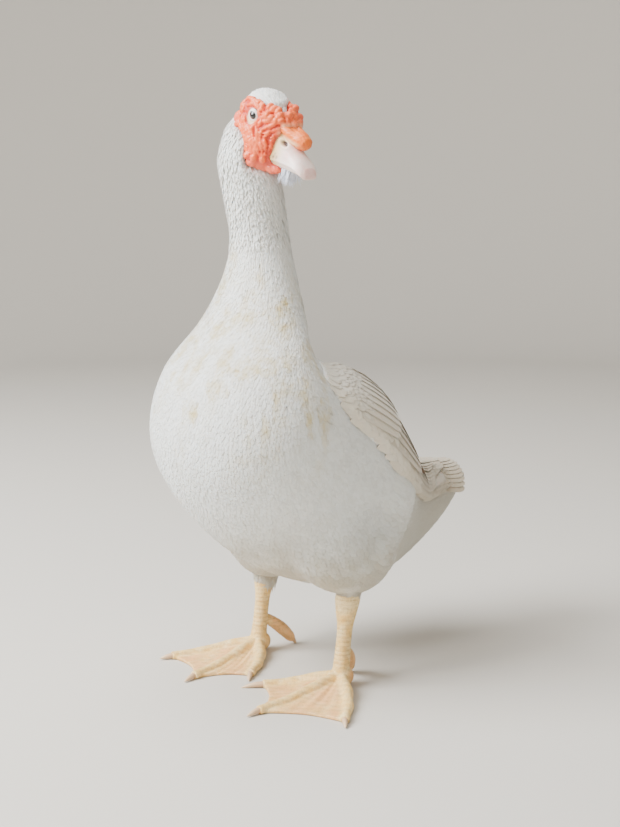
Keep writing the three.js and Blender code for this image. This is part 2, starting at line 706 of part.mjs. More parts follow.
/** The small tuft of hair-like feathers that hangs from the chin. */
function chinTuft(draw) {
  const locks = [];
  for (let row = 0; row < 2; row++) {
    for (const k of [-1, 0, 1]) {
      const a = 36 + 6 * row;
      const rings = [0, 0.6, 1].map((t, i) => {
        const wide = [4, 3.4, 0.9][i];
        const middle = [k * (4 + 1.6 * t) + 0.4 * draw(), a + 3 * t, -34 - 13.5 * t - row];
        return [0, 1, 2, 3, 4].map((n) => {
          const round = (n * Math.PI) / 2.5;
          return ahead([
            middle[0] + wide * 0.62 * Math.cos(round),
            middle[1] + wide * 0.8 * Math.sin(round),
            middle[2],
          ]);
        });
      });
      locks.push(loftSolid(rings));
    }
  }
  const root = ball(ahead([0, 39, -36]).toArray(), [6, 6.5, 3]);
  return join([root, ...locks]);
}

/** Every mesh of the head, in the head's own frame. neck is the neck in that frame, also grown by the gap. */
function headMeshes(neck, neckGrown) {
  const skin = headShape(GAP).add(neckGrown);
  const [upperGrown, lowerGrown] = [billHalf(true, GAP), billHalf(false, GAP)];
  const neckPlane = beyond(vector(0, 0, -1), [0, 0, NECK_HEAD_Z + GAP / 2]);
  const meshes = [];
  const round = { sides: 10, rings: 7 };
  const eyes = [1, -1].map((side) => [side * EYE_OUT, 0, 0]);
  const sockets = eyes.map((at) => ball(at, Array(3).fill(EYE_RADIUS + GAP), round));

  let head = join([headShape(0), neck]).subtract(neckPlane);
  for (const socket of sockets) head = head.subtract(socket);
  meshes.push(meshOf("head", head, feather));

  eyes.forEach((at, i) => {
    const name = ["left", "right"][i];
    const side = [1, -1][i];
    meshes.push(meshOf(`eye_${name}`, ball(at, Array(3).fill(EYE_RADIUS), round), eyeGloss));
    const [lidAt, lidSize] = [[side * (EYE_OUT + 1.2), 0.2, -0.8], [5.6, 6.6, 7.6]];
    const rim = ball(lidAt, lidSize, round);
    const opening = ball([side * (EYE_OUT + 6), 0, 0], [6, 4.2, 4], { sides: 8, rings: 5 });
    const lids = rim.subtract(sockets[i]).subtract(opening).subtract(skin);
    meshes.push(meshOf(`eyelids_${name}`, lids, lidSkin));
    const lidRoom = ball(lidAt, lidSize.map((x) => x + GAP), round);
    const face = faceShape(side)
      .subtract(skin)
      .subtract(upperGrown)
      .subtract(lowerGrown)
      .subtract(lidRoom)
      .subtract(sockets[i]);
    meshes.push(meshOf(`caruncles_${name}`, face, caruncle));
  });

  const knobRoom = ball(ahead(KNOB.at).toArray(), KNOB.radii.map((x) => x + GAP), round);
  const forehead = [skin, upperGrown, knobRoom].reduce((rest, cut) => rest.subtract(cut), foreheadShape());
  meshes.push(meshOf("caruncles_forehead", forehead, caruncle));
  const knob = ball(ahead(KNOB.at).toArray(), KNOB.radii, round);
  meshes.push(meshOf("bill_knob", knob.subtract(upperGrown).subtract(skin), knobSkin));

  const nailBall = (out) => ball(ahead(NAIL.at).toArray(), NAIL.radii.map((x) => x + out), round);
  let upper = billHalf(true).subtract(skin).subtract(nailBall(GAP));
  for (const side of [1, -1]) {
    const pit = [side * NOSTRIL.out, NOSTRIL.a, NOSTRIL.z];
    upper = upper.subtract(ball(ahead(pit).toArray(), [NOSTRIL.depth, 3, 1.7], { sides: 8, rings: 6 }));
  }
  meshes.push(meshOf("bill_upper", upper, billHorn));
  meshes.push(meshOf("bill_nail", billHalf(true).intersect(nailBall(0)), nailHorn));
  meshes.push(meshOf("bill_lower", billHalf(false).subtract(skin).subtract(nailBall(GAP)), billHorn));
  meshes.push(meshOf("chin_tuft", chinTuft(seededDraw(5)).subtract(lowerGrown).subtract(skin), feather));
  const bare = [faceShape(1, GAP), faceShape(-1, GAP), foreheadShape(GAP)];
  const locks = [...bare, skin].reduce((rest, cut) => rest.subtract(cut), crest(seededDraw(3)));
  meshes.push(meshOf("crest", locks, feather));
  return meshes;
}

// Legs and feet

// Each foot's toe joint and hock, its toes, and its hind toe's tip from the joint, outward positive. Each toe
// has its heading in degrees from straight ahead, outward positive, its length from the toe joint to the
// root of the claw, and its claw's.
const FEET = {
  left: {
    side: 1,
    joint: [66, 0, 17],
    hock: [65, 12, 86],
    toes: { outer: [47, 90, 13], middle: [-3, 102, 14], inner: [-43, 75, 22] },
    hind: [-20, 33, 8],
  },
  right: {
    side: -1,
    joint: [-66, 11.5, 17],
    hock: [-65, 23, 86],
    toes: { outer: [29, 91, 13], middle: [-9, 101, 14], inner: [-42, 75, 15] },
    hind: [-7, 40, 8],
  },
};
const TOE = { rootWidth: 14, tipWidth: 8.5, rootHeight: 17, tipHeight: 8, bow: 5 };
const CLAW = { width: 5.4, height: 5.6 };
const WEB_THICK = 2.6;
const HIND_TOE = { from: [0, 6, 37], radius: 6.6 };

/** The direction of a toe over the ground. */
function toeDirection(side, heading) {
  return vector(side * Math.sin(radians(heading)), -Math.cos(radians(heading)), 0);
}

/** One toe: a tapered, knuckled bar with its top sloping down to the claw. */
function toe(side, [heading, length], bend = 0) {
  const forward = toeDirection(side, heading);
  const across = vector(0, 0, 1).cross(forward);
  const bow = bend * side;
  const rings = [];
  const count = 7;
  for (let i = 0; i <= count; i++) {
    const t = i / count;
    const knuckle = 1 + 0.12 * Math.cos(t * 3 * 2 * Math.PI);
    const half = (mix(TOE.rootWidth, TOE.tipWidth, t) / 2) * knuckle;
    const top = mix(TOE.rootHeight, TOE.tipHeight, ease(Math.min(1, t * 1.25))) * (0.94 + 0.06 * knuckle);
    const middle = forward.clone().multiplyScalar(t * length);
    middle.addScaledVector(across, bow * Math.sin(Math.PI * t));
    rings.push(
      [0, 1, 2, 3, 4, 5, 6, 7].map((k) => {
        const round = (k * Math.PI) / 4 + Math.PI / 8;
        const rise = Math.sin(round);
        const z = rise > 0 ? mix(top * 0.45, top, rise) : -3;
        const out = Math.cos(round) * half * (rise > 0 ? 1 : 0.8);
        return middle.clone().addScaledVector(across, out).setZ(z);
      }),
    );
  }
  return loftSolid(rings);
}

/** The web between two toes, thin and a little slack, with a hollow front edge. */
function web(side, first, second) {
  const span = 5;
  const rings = [];
  for (let i = 0; i <= span; i++) {
    const share = i / span;
    const heading = mix(first[0], second[0], share);
    const sag = 1 - 0.06 * Math.sin(Math.PI * share);
    const length = mix(first[1], second[1], share) * 0.97 * sag;
    const forward = toeDirection(side, heading);
    const slack = 1.4 * Math.sin(Math.PI * share);
    const [near, far] = [0.1, 1].map((t) => forward.clone().multiplyScalar(length * t));
    const [high, low] = [near.clone().setZ(13 - slack), far.clone().setZ(WEB_THICK + 0.6)];
    const knee = forward.clone().multiplyScalar(length * 0.5).setZ(5.2 - slack * 0.6);
    rings.push([high, knee, low, far.clone().setZ(-3), near.clone().setZ(-3)]);
  }
  return loftSolid(rings);
}

/** A claw's horn: a cone that bends down to the ground. */
function claw(root, forward, { length, width, height }, dip) {
  const across = vector(0, 0, 1).cross(forward).normalize();
  const upward = forward.clone().cross(across);
  const rings = [0, 0.35, 0.7, 1].map((t, i) => {
    const size = [1, 0.86, 0.55, 0.16][i];
    const middle = root.clone().addScaledVector(forward, t * length).addScaledVector(upward, -dip * t * t);
    return [0, 1, 2, 3, 4, 5].map((k) => {
      const round = (k * Math.PI) / 3;
      return middle
        .clone()
        .addScaledVector(across, (Math.cos(round) * size * width) / 2)
        .addScaledVector(upward, (Math.sin(round) * size * height) / 2);
    });
  });
  return loftSolid(rings);
}

/** A ring of a leg at a height between two joints. */
function legRing(centre, halfX, halfY, sides = 14) {
  return Array.from({ length: sides }, (_, k) => {
    const round = (2 * Math.PI * k) / sides;
    return centre.clone().add(vector(halfX * Math.cos(round), halfY * Math.sin(round), 0));
  });
}

// The shank from the toe joint to the hock: share of its height, and half widths across and fore and aft.
const SHANK = [
  { t: 0, halfX: 8.8, halfY: 9.2 },
  { t: 0.14, halfX: 7.8, halfY: 8.2 },
  { t: 0.36, halfX: 6.8, halfY: 7.6 },
  { t: 0.58, halfX: 7.2, halfY: 8 },
  { t: 0.76, halfX: 10, halfY: 10.6 },
  { t: 0.9, halfX: 11.8, halfY: 12.4 },
  { t: 1, halfX: 11, halfY: 11.6 },
];
// The feathered thigh from the hock up into the body: offsets from the hock and half widths.
const THIGH = [
  { z: 0, y: 0, x: 0, halfX: 12.5, halfY: 13 },
  { z: 8, y: 0, x: 1, halfX: 20, halfY: 22 },
  { z: 20, y: -1, x: 1, halfX: 27, halfY: 33 },
  { z: 38, y: -3, x: 0, halfX: 33, halfY: 42 },
  { z: 64, y: -6, x: -3, halfX: 35, halfY: 47 },
  { z: 84, y: -8, x: -8, halfX: 28, halfY: 40 },
];

/** Every mesh of one leg. body is the body's solid grown by the gap. */
function legMeshes(name, body) {
  const { side, toes } = FEET[name];
  const joint = vector(...FEET[name].joint);
  const hock = vector(...FEET[name].hock);
  const meshes = [];

  const thighRings = [];
  for (let i = 0; i <= 7; i++) {
    const s = sizesAt(THIGH, (i / 7) * (THIGH.length - 1));
    thighRings.push(legRing(hock.clone().add(vector(side * s.x, s.y, s.z)), s.halfX, s.halfY, 14));
  }
  meshes.push(meshOf(`thigh_${name}`, loftSolid(thighRings).subtract(body), feather));

  const shankRings = [];
  const count = 10;
  for (let i = 0; i <= count; i++) {
    const s = sizesAt(SHANK, (i / count) * (SHANK.length - 1));
    const from = joint.clone().add(vector(0, 0, GAP));
    shankRings.push(legRing(from.lerp(hock.clone().sub(vector(0, 0, GAP)), s.t), s.halfX, s.halfY, 12));
  }
  const [hindRoot, hindTip] = [HIND_TOE.from, FEET[name].hind].map(([x, y, z]) =>
    vector(joint.x + side * x, joint.y + y, z),
  );
  const hindWay = hindTip.clone().sub(hindRoot).normalize();
  const hind = hindToe(hindRoot, hindTip).subtract(beyond(hindWay, hindTip.toArray()));
  meshes.push(meshOf(`shank_${name}`, loftSolid(shankRings).add(hind), legScale));

  const pieces = [
    toe(side, toes.outer, TOE.bow),
    toe(side, toes.middle),
    toe(side, toes.inner, -TOE.bow),
    web(side, toes.outer, toes.middle),
    web(side, toes.middle, toes.inner),
  ];
  const ankle = [
    legRing(vector(0, 1, -3), 9.5, 12),
    legRing(vector(0, 1, 4), 11.5, 13),
    legRing(vector(0, 0.5, 12), 10.5, 11.5),
    legRing(vector(0, 0, joint.z), 8.8, 9.2),
  ];
  pieces.push(loftSolid(ankle));
  const stand = (piece) => piece.translate(joint.x, joint.y, 0);
  const ground = beyond(vector(0, 0, -1), [0, 0, 0]);
  const foot = join(pieces)
    .subtract(ground)
    .subtract(beyond(vector(0, 0, 1), [0, 0, joint.z]));
  meshes.push(meshOf(`foot_${name}`, stand(foot), legScale));
  for (const [label, [heading, length, reach]] of Object.entries(toes)) {
    const forward = toeDirection(side, heading);
    const root = forward.clone().multiplyScalar(length + GAP).setZ(TOE.tipHeight * 0.5);
    const horn = claw(root, forward, { length: reach, ...CLAW }, reach * 0.17).subtract(ground);
    meshes.push(meshOf(`claw_${label}_${name}`, stand(horn), clawHorn));
  }
  const hindClawRoot = hindTip.clone().addScaledVector(hindWay, GAP);
  const hindClaw = claw(hindClawRoot, hindWay, { length: 10, width: 5, height: 5.4 }, 3).subtract(ground);
  meshes.push(meshOf(`claw_hind_${name}`, hindClaw, clawHorn));
  return meshes;
}

/** The short hind toe, from the back of the shank down to just over the ground. */
function hindToe(root, tip) {
  return loftSolid(
    [0, 0.3, 0.65, 1].map((t, i) => {
      const size = HIND_TOE.radius * [0.8, 0.95, 1, 0.7][i];
      return legRing(root.clone().lerp(tip, t), size, size, 8);
    }),
  );
}

// Assembly

const NECK_HEAD_Z = -44; // the level in the head's frame where head and neck part

const headGroup = new THREE.Group();
headGroup.position.set(...EYES_MIDDLE);
headGroup.rotation.set(radians(HEAD_DROP), radians(HEAD_TILT), radians(HEAD_TURN), "ZXY");
headGroup.scale.setScalar(HEAD_SIZE);
headGroup.updateMatrix();
const toHead = headGroup.matrix.clone().invert();

/** A length of the neck in the head's frame. */
const neckInHead = (out) => bodyLength(12.6, NECK_TOP, { out }).transform(toHead.toArray());

const neckPlane = beyond(vector(0, 0, 1), [0, 0, NECK_HEAD_Z - GAP / 2]).transform(
  headGroup.matrix.toArray(),
);
headGroup.add(...headMeshes(neckInHead(0), neckInHead(GAP)));

const bodyGrown = bodyLength(0.35, 11, { out: GAP });
const wing = leftWing(bodyLength(0.35, 11, { out: 1.7 * GAP })); // its mirror has to clear the body too
const mirrored = wing.scale([-1, 1, 1]);

const bird = new THREE.Group();
bird.add(
  meshOf("torso", bodyLength(TAIL_CUT, NECK_CUT, { shift: GAP }), feather),
  meshOf("neck_lower", bodyLength(NECK_CUT, NECK_MIDDLE_CUT, { shift: GAP }), feather),
  meshOf("neck_upper", bodyLength(NECK_MIDDLE_CUT, NECK_TOP, { shift: GAP }).subtract(neckPlane), feather),
  meshOf("tail", tail(), flightFeather),
  meshOf("wing_left", wing, flightFeather),
  meshOf("wing_right", mirrored, flightFeather),
  ...legMeshes("left", bodyGrown),
  ...legMeshes("right", bodyGrown),
  headGroup,
);

// The bird is moved so that the origin is on the ground under the middle of its outline.
const bounds = new THREE.Box3().setFromObject(bird, true);
const centre = bounds.getCenter(vector(0, 0, 0));
const duck = new THREE.Group();
bird.position.set(-centre.x, -centre.y, -bounds.min.z);
duck.add(bird);

export default duck;
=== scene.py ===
"""Dresses a packed life-size muscovy drake: plumage, face, bill, eyes, legs, floor, light and camera.

Shapes are worked out in millimetres in the bird's own frame: the ground point between its feet is the
origin, its body faces -Y and its left side is +X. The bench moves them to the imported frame, in metres.
"""

from __future__ import annotations

import logging
import math
from dataclasses import dataclass, replace
from enum import Enum
from typing import Any, Callable, ClassVar, Sequence

import bpy
import numpy as np
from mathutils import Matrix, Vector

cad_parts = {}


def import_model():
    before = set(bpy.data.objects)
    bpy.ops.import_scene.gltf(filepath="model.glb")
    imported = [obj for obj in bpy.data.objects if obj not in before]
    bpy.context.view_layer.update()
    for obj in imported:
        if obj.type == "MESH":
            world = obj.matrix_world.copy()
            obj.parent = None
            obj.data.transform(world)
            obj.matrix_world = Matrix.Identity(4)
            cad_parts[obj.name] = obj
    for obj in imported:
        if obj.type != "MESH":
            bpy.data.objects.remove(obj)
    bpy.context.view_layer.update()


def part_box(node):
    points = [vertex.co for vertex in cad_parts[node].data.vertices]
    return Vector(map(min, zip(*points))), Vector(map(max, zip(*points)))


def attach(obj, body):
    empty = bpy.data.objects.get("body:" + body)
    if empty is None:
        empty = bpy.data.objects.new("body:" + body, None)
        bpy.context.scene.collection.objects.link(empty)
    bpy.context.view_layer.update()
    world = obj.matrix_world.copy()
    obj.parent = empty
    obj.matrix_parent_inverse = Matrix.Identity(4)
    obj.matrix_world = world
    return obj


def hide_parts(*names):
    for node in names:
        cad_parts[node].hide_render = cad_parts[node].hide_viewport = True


log = logging.getLogger("muscovy_duck")

MM = 0.001
COAT_DEPTH = 3.4  # from the outer tips of the body feathers to the skin
IMAGE_HEIGHT = 827  # of the photograph, in pixels
TINY = 1e-9
Array = np.ndarray
Number = np.ndarray | float
Draw = np.random.Generator
Piece = bpy.types.Object
Tree = bpy.types.NodeTree


# Small helpers


def linear(hex_colour: str) -> tuple[float, float, float, float]:
    """Turns an sRGB hex colour into linear red, green, blue and a full alpha."""
    channels = [int(hex_colour[i : i + 2], 16) / 255 for i in (1, 3, 5)]
    light = [c / 12.92 if c <= 0.04045 else ((c + 0.055) / 1.055) ** 2.4 for c in channels]
    return (light[0], light[1], light[2], 1.0)


def ease(x: Number) -> Array:
    """A smooth step from 0 to 1 as x goes from 0 to 1."""
    t = np.clip(x, 0.0, 1.0)
    return t * t * (3.0 - 2.0 * t)


def step(x: Number, start: float, width: float) -> Array:
    """A smooth step from 0 at the start to 1 a width further on, which may be a negative one."""
    return ease((x - start) / width)


def hump(x: Number) -> Array:
    """A smooth bell of height 1 round 0."""
    return np.exp(-(x**2))


def mix(a: Any, b: Any, t: Any) -> Any:
    """The value a share t of the way from a to b."""
    return a + (b - a) * t


def signed_power(x: Array, power: Number) -> Array:
    """A power that keeps its number's sign."""
    return np.sign(x) * np.abs(x) ** power


def unit(vectors: Array) -> Array:
    """Vectors of length one."""
    return vectors / np.maximum(np.linalg.norm(vectors, axis=-1, keepdims=True), TINY)


def circle(count: int) -> Array:
    """Radians at even steps round a circle."""
    return np.linspace(0, 2 * math.pi, count, endpoint=False)


def grid(first: Array, second: Array) -> list[Array]:
    """Two lists of values crossed to a grid."""
    return np.meshgrid(first, second, indexing="ij")


def spin(axis: int, degrees: float) -> Array:
    """The matrix of a turn round X, Y or Z."""
    c, s = math.cos(math.radians(degrees)), math.sin(math.radians(degrees))
    a, b = (axis + 1) % 3, (axis + 2) % 3
    matrix = np.eye(3)
    matrix[a, a], matrix[a, b], matrix[b, a], matrix[b, b] = c, -s, s, c
    return matrix


def on_stations(stations: Any, place: Array) -> Array:
    """Reads a table of sizes at fractional rows, on a smooth curve through them.

    Args:
        stations: One row of sizes for each station.
        place: Fractional row numbers.

    Returns:
        One row of sizes for each place.
    """
    stations = np.asarray(stations, float)
    last = len(stations) - 1
    place = np.clip(place, 0.0, last)
    i = np.minimum(place.astype(int), last - 1)
    f = (place - i)[..., None]
    a, b, c, d = (stations[np.clip(i + k, 0, last)] for k in (-1, 0, 1, 2))
    slope_b, slope_c = (c - a) / 2, (d - b) / 2
    cubic = 2 * (b - c) + slope_b + slope_c
    square = 3 * (c - b) - 2 * slope_b - slope_c
    return ((cubic * f + square) * f + slope_b) * f + b


def mottle(points: Array, size: float, seed: int) -> Array:
    """A soft, cloudy pattern.

    Args:
        points: Places in millimetres.
        size: About the width of one cloud in millimetres.
        seed: Which pattern.

    Returns:
        A value from 0 to 1 for each place.
    """
    draw = np.random.default_rng(1000 + seed)
    total = np.zeros(points.shape[:-1])
    for octave in range(4):
        for _ in range(3):
            wave = unit(draw.normal(size=3)) * (2 * math.pi / size) * 1.7**octave
            total += np.sin(points @ wave + draw.uniform(0, 6.28)) * 0.62**octave
    return np.clip(0.5 + total / 7.0, 0.0, 1.0)


# Meshes


@dataclass
class Sheet:
    """Points and faces of a piece, in millimetres in the bird's frame, with what its finish reads."""

    points: Array
    quads: Array
    tris: Array
    marks: Array | None = None
    bake: Array | None = None
    vane: Array | None = None

    @staticmethod
    def joined(parts: Sequence["Sheet"]) -> "Sheet":
        """Puts several sheets in one, with those values that they all carry."""
        starts = np.cumsum([0] + [len(p.points) for p in parts])
        whole = Sheet(
            np.concatenate([p.points for p in parts]),
            np.concatenate([p.quads + s for p, s in zip(parts, starts)]),
            np.concatenate([p.tris + s for p, s in zip(parts, starts)]),
        )
        for name in ("marks", "bake", "vane"):
            values = [getattr(p, name) for p in parts]
            if all(v is not None for v in values):
                setattr(whole, name, np.concatenate(values))
        return whole

    def mirrored(self) -> "Sheet":
        """The same sheet on the other side of the body."""
        quads, tris = self.quads[:, ::-1], self.tris[:, ::-1]
        return Sheet(self.points * [-1, 1, 1], quads, tris, self.marks, self.bake, self.vane)


def skin_of_rings(rings: Array) -> Sheet:
    """A closed tube, facing outward, through rings of points by ring and by place round the ring."""
    count, around = rings.shape[:2]
    index = np.arange(count * around).reshape(count, around)
    after = np.roll(index, -1, axis=1)
    quads = np.stack([index[:-1], after[:-1], after[1:], index[1:]], -1).reshape(-1, 4)
    points = np.concatenate([rings.reshape(-1, 3), [rings[0].mean(0), rings[-1].mean(0)]])
    first, last = (np.full(around, count * around + k) for k in (0, 1))
    caps = [np.stack([after[0], index[0], first], -1), np.stack([index[-1], after[-1], last], -1)]
    sheet = Sheet(points, quads, np.concatenate(caps))
    a, b, c, d = (points[quads[:, k]] for k in range(4))
    if np.sum(a * np.cross(b, c)) + np.sum(a * np.cross(c, d)) < 0:
        sheet.quads, sheet.tris = sheet.quads[:, ::-1], sheet.tris[:, ::-1]
    return sheet


def tube(path: Array, radii: Number, sides: int, flat: float = 1.0) -> Sheet:
    """A round, closed tube along a path, with rounded ends.

    Args:
        path: Points along its middle.
        radii: The radius at each point.
        sides: Facets round it.
        flat: Its height as a share of its width, along Z.

    Returns:
        The tube.
    """
    along = unit(np.gradient(path, axis=0))
    helper = np.where(np.abs(along[:, 2:3]) > 0.9, [[1.0, 0, 0]], [[0, 0, 1.0]])
    across = unit(np.cross(along, helper))
    upward = np.cross(across, along)
    turn = circle(sides)
    radii = np.broadcast_to(np.asarray(radii, float), len(path))
    places = [(0, -0.95), (0, -0.6)] + [(i, 0.0) for i in range(len(path))] + [(-1, 0.6), (-1, 0.95)]
    rings = []
    for i, reach in places:
        size = radii[i] * math.sqrt(1 - reach * reach)
        middle = path[i] + along[i] * radii[i] * reach
        middle = middle + np.outer(np.cos(turn), across[i]) * size
        rings.append(middle + np.outer(np.sin(turn), upward[i]) * size * flat)
    return skin_of_rings(np.array(rings))


def egg(centre: Sequence[float], radii: Sequence[float], axes: Array = np.eye(3)) -> Sheet:
    """A closed stretched ball, from its middle, its half sizes and its three directions as rows."""
    polar, turn = grid(np.linspace(0.12, math.pi - 0.12, 11), circle(18))
    shape = np.stack([np.sin(polar) * np.cos(turn), np.sin(polar) * np.sin(turn), np.cos(polar)], -1)
    return skin_of_rings(shape * np.asarray(radii, float) @ axes + np.asarray(centre, float))


# Surfaces that feathers are laid on


class Surface:
    """A smooth surface with two coordinates, u along the feathers and v across them."""

    lie = 1.0  # the way along u that feather tips point
    steps = (0.02, 0.5)  # small steps along u and v, to measure slopes with
    unwrap = (0.02, 0.96, 1.0)  # where v begins on the skin's unwrap, its width there, and the span of u

    def point(self, u: Array, v: Array, out: Number) -> Array:
        """The place at u and v, lifted outward by out."""
        raise NotImplementedError

    def bake_place(self, u: Array, v: Array) -> Array:
        """Where u and v, which is in degrees here, are on the unwrap of the skin, from 0 to 1."""
        start, width, span = self.unwrap
        return np.stack([start + width * ((v / 360.0) % 1.0), 0.02 + 0.96 * u / span], -1)

    def slopes(self, u: Array, v: Array) -> tuple[Array, Array]:
        """How the place changes over a small step to both sides, along u and along v."""
        du, dv = self.steps
        along = self.point(u + du, v, 0.0) - self.point(u - du, v, 0.0)
        return along, self.point(u, v + dv, 0.0) - self.point(u, v - dv, 0.0)

    def scale(self, u: Array, v: Array) -> list[Array]:
        """Millimetres for one unit of u and for one unit of v."""
        pairs = zip(self.slopes(u, v), self.steps)
        return [np.maximum(np.linalg.norm(slope, axis=-1) / (2 * size), 1e-3) for slope, size in pairs]

    def normal(self, u: Array, v: Array) -> Array:
        """The outward direction at u and v."""
        return unit(np.cross(*self.slopes(u, v)))

    def count_along(self, u: Array, v: Array, exposed: Array) -> Array:
        """How many rows of feathers there are up to each u, where each row shows this much."""
        length = np.linalg.norm(np.diff(self.point(u, v, 0.0), axis=0), axis=-1)
        return np.concatenate([[0.0], np.cumsum(length / ((exposed[1:] + exposed[:-1]) / 2))])


class BodySurface(Surface):
    """The body and neck. u is a place along the stations, v is degrees round from the back to the left."""

    lie = -1.0
    unwrap = (0.02, 0.96, 16.0)
    end = 5.5  # how far the rounded end under the tail goes past the first station
    # y, z, lean in degrees, half width, back height, belly height and squareness, from tail to head
    stations = (
        (238, 168, 8, 22, 8, 12, 2.2),
        (206, 158, 12, 33, 20, 36, 2.2),
        (168, 150, 17, 43, 37, 55, 2.2),
        (130, 146, 22, 57, 49, 67, 2.2),
        (92, 152, 26, 76, 69, 80, 2.2),
        (50, 171, 29, 94, 87, 91, 2.2),
        (4, 204, 32, 100, 101, 101, 2.2),
        (-42, 243, 38, 101, 92, 99, 2.15),
        (-69, 283, 51, 98, 72, 92, 2.1),
        (-69, 322, 68, 81, 55, 72, 2.05),
        (-52, 357, 80, 58, 42, 46, 2.0),
        (-43, 392, 88, 41, 32, 33, 2.0),
        (-42, 430, 90, 29, 27, 27, 2.0),
        (-49, 468, 90, 29, 27, 27, 2.0),
        (-56, 502, 90, 28.5, 27, 27, 2.0),
        (-55, 526, 90, 21.5, 20, 22, 2.0),
        (-54, 546, 90, 13, 13, 13, 2.0),
    )

    def point(self, u: Array, v: Array, out: Number) -> Array:
        """The place at u and v, lifted outward by out."""
        u = np.asarray(u, float)
        y, z, lean, half, back, belly, square = np.moveaxis(on_stations(self.stations, u), -1, 0)
        turn, lean = np.radians(v), np.radians(lean)
        past = np.clip(-u / 0.3, 0.0, 1.0)
        shrink = np.sqrt(1.0 - past**2)
        height = np.where(np.cos(turn) > 0, back, belly)
        across = signed_power(np.sin(turn), 2 / square) * (half + out) * shrink
        rise = signed_power(np.cos(turn), 2 / square) * (height + out) * shrink
        return np.stack([across, y + self.end * past + rise * np.sin(lean), z + rise * np.cos(lean)], -1)


class CoatSurface(BodySurface):
    """The body's outer coat, which swells smoothly over the thighs and flanks."""

    rows, columns = 200, 180

    def __init__(self, thighs: Sequence["ThighSurface"], face: "Face") -> None:
        """Works out how far the coat swells over the thighs, and sinks under the face's bare mask."""
        u, v = grid(np.linspace(0, 16, self.rows + 1), np.arange(0, 360, 360 / self.columns))
        over_thigh = np.zeros(u.shape)
        for reach in np.arange(0.0, 26.0, 1.0):
            spots = BodySurface.point(self, u, v, reach)
            over_thigh[np.any([thigh.holds(spots) for thigh in thighs], axis=0)] = reach
        for axis in (0, 1) * 3:
            over_thigh = np.max([np.roll(over_thigh, k, axis) for k in (-1, 0, 1)], axis=0)
        swell = self.blur(over_thigh, 3)
        # the flank's feathers puff out before their free edge, and behind it the body lies lower
        angle = np.abs((v + 180) % 360 - 180)
        flank = step(angle, 62, 14) * step(angle, 150, -30)
        swell += flank * 3.5 * hump((u - 4.8) / 0.45)
        swell -= flank * 2.5 * step(u, 4.45, -0.25) * step(u, 1.2, 1.6)
        # the neck's coat rises to meet the nape, and dips under the mask's edge
        spots = face.head.to_head(BodySurface.point(self, u, v, 0.0))
        far, depth, neck = face.head.distance(spots), face.depth_inside(spots), u > 12.5
        fillet = 4.0 * np.clip(1 - far / 9, 0, 1) ** 2 * step(depth, -4, -4) * neck
        sunk = np.where((depth > 1.2) & (far < 12) & neck, np.maximum(far + 2.0, 0.0), 0.0)
        self.swell = swell + self.blur(fillet, 1) - self.blur(sunk, 1)

    def blur(self, values: Array, times: int) -> Array:
        """Smooths a grid of values along the body and round it."""
        for _ in range(times * 3):
            ends = np.concatenate([values[:1], values, values[-1:]])
            values = (ends[:-2] + ends[1:-1] * 2 + ends[2:]) / 4
            values = (np.roll(values, 1, 1) + values * 2 + np.roll(values, -1, 1)) / 4
        return values

    def point(self, u: Array, v: Array, out: Number) -> Array:
        """The place at u and v, lifted outward by out."""
        u, v = np.broadcast_arrays(np.asarray(u, float), np.asarray(v, float))
        row = np.clip(u / 16 * self.rows, 0, self.rows - 0.001)
        column = (v % 360) / (360 / self.columns)
        i, k = row.astype(int), column.astype(int)
        f, g = row - i, column - k
        k, after = k % self.columns, (k + 1) % self.columns
        low, high = (mix(self.swell[i + n, k], self.swell[i + n, after], g) for n in (0, 1))
        return BodySurface.point(self, u, v, out + mix(low, high, f))


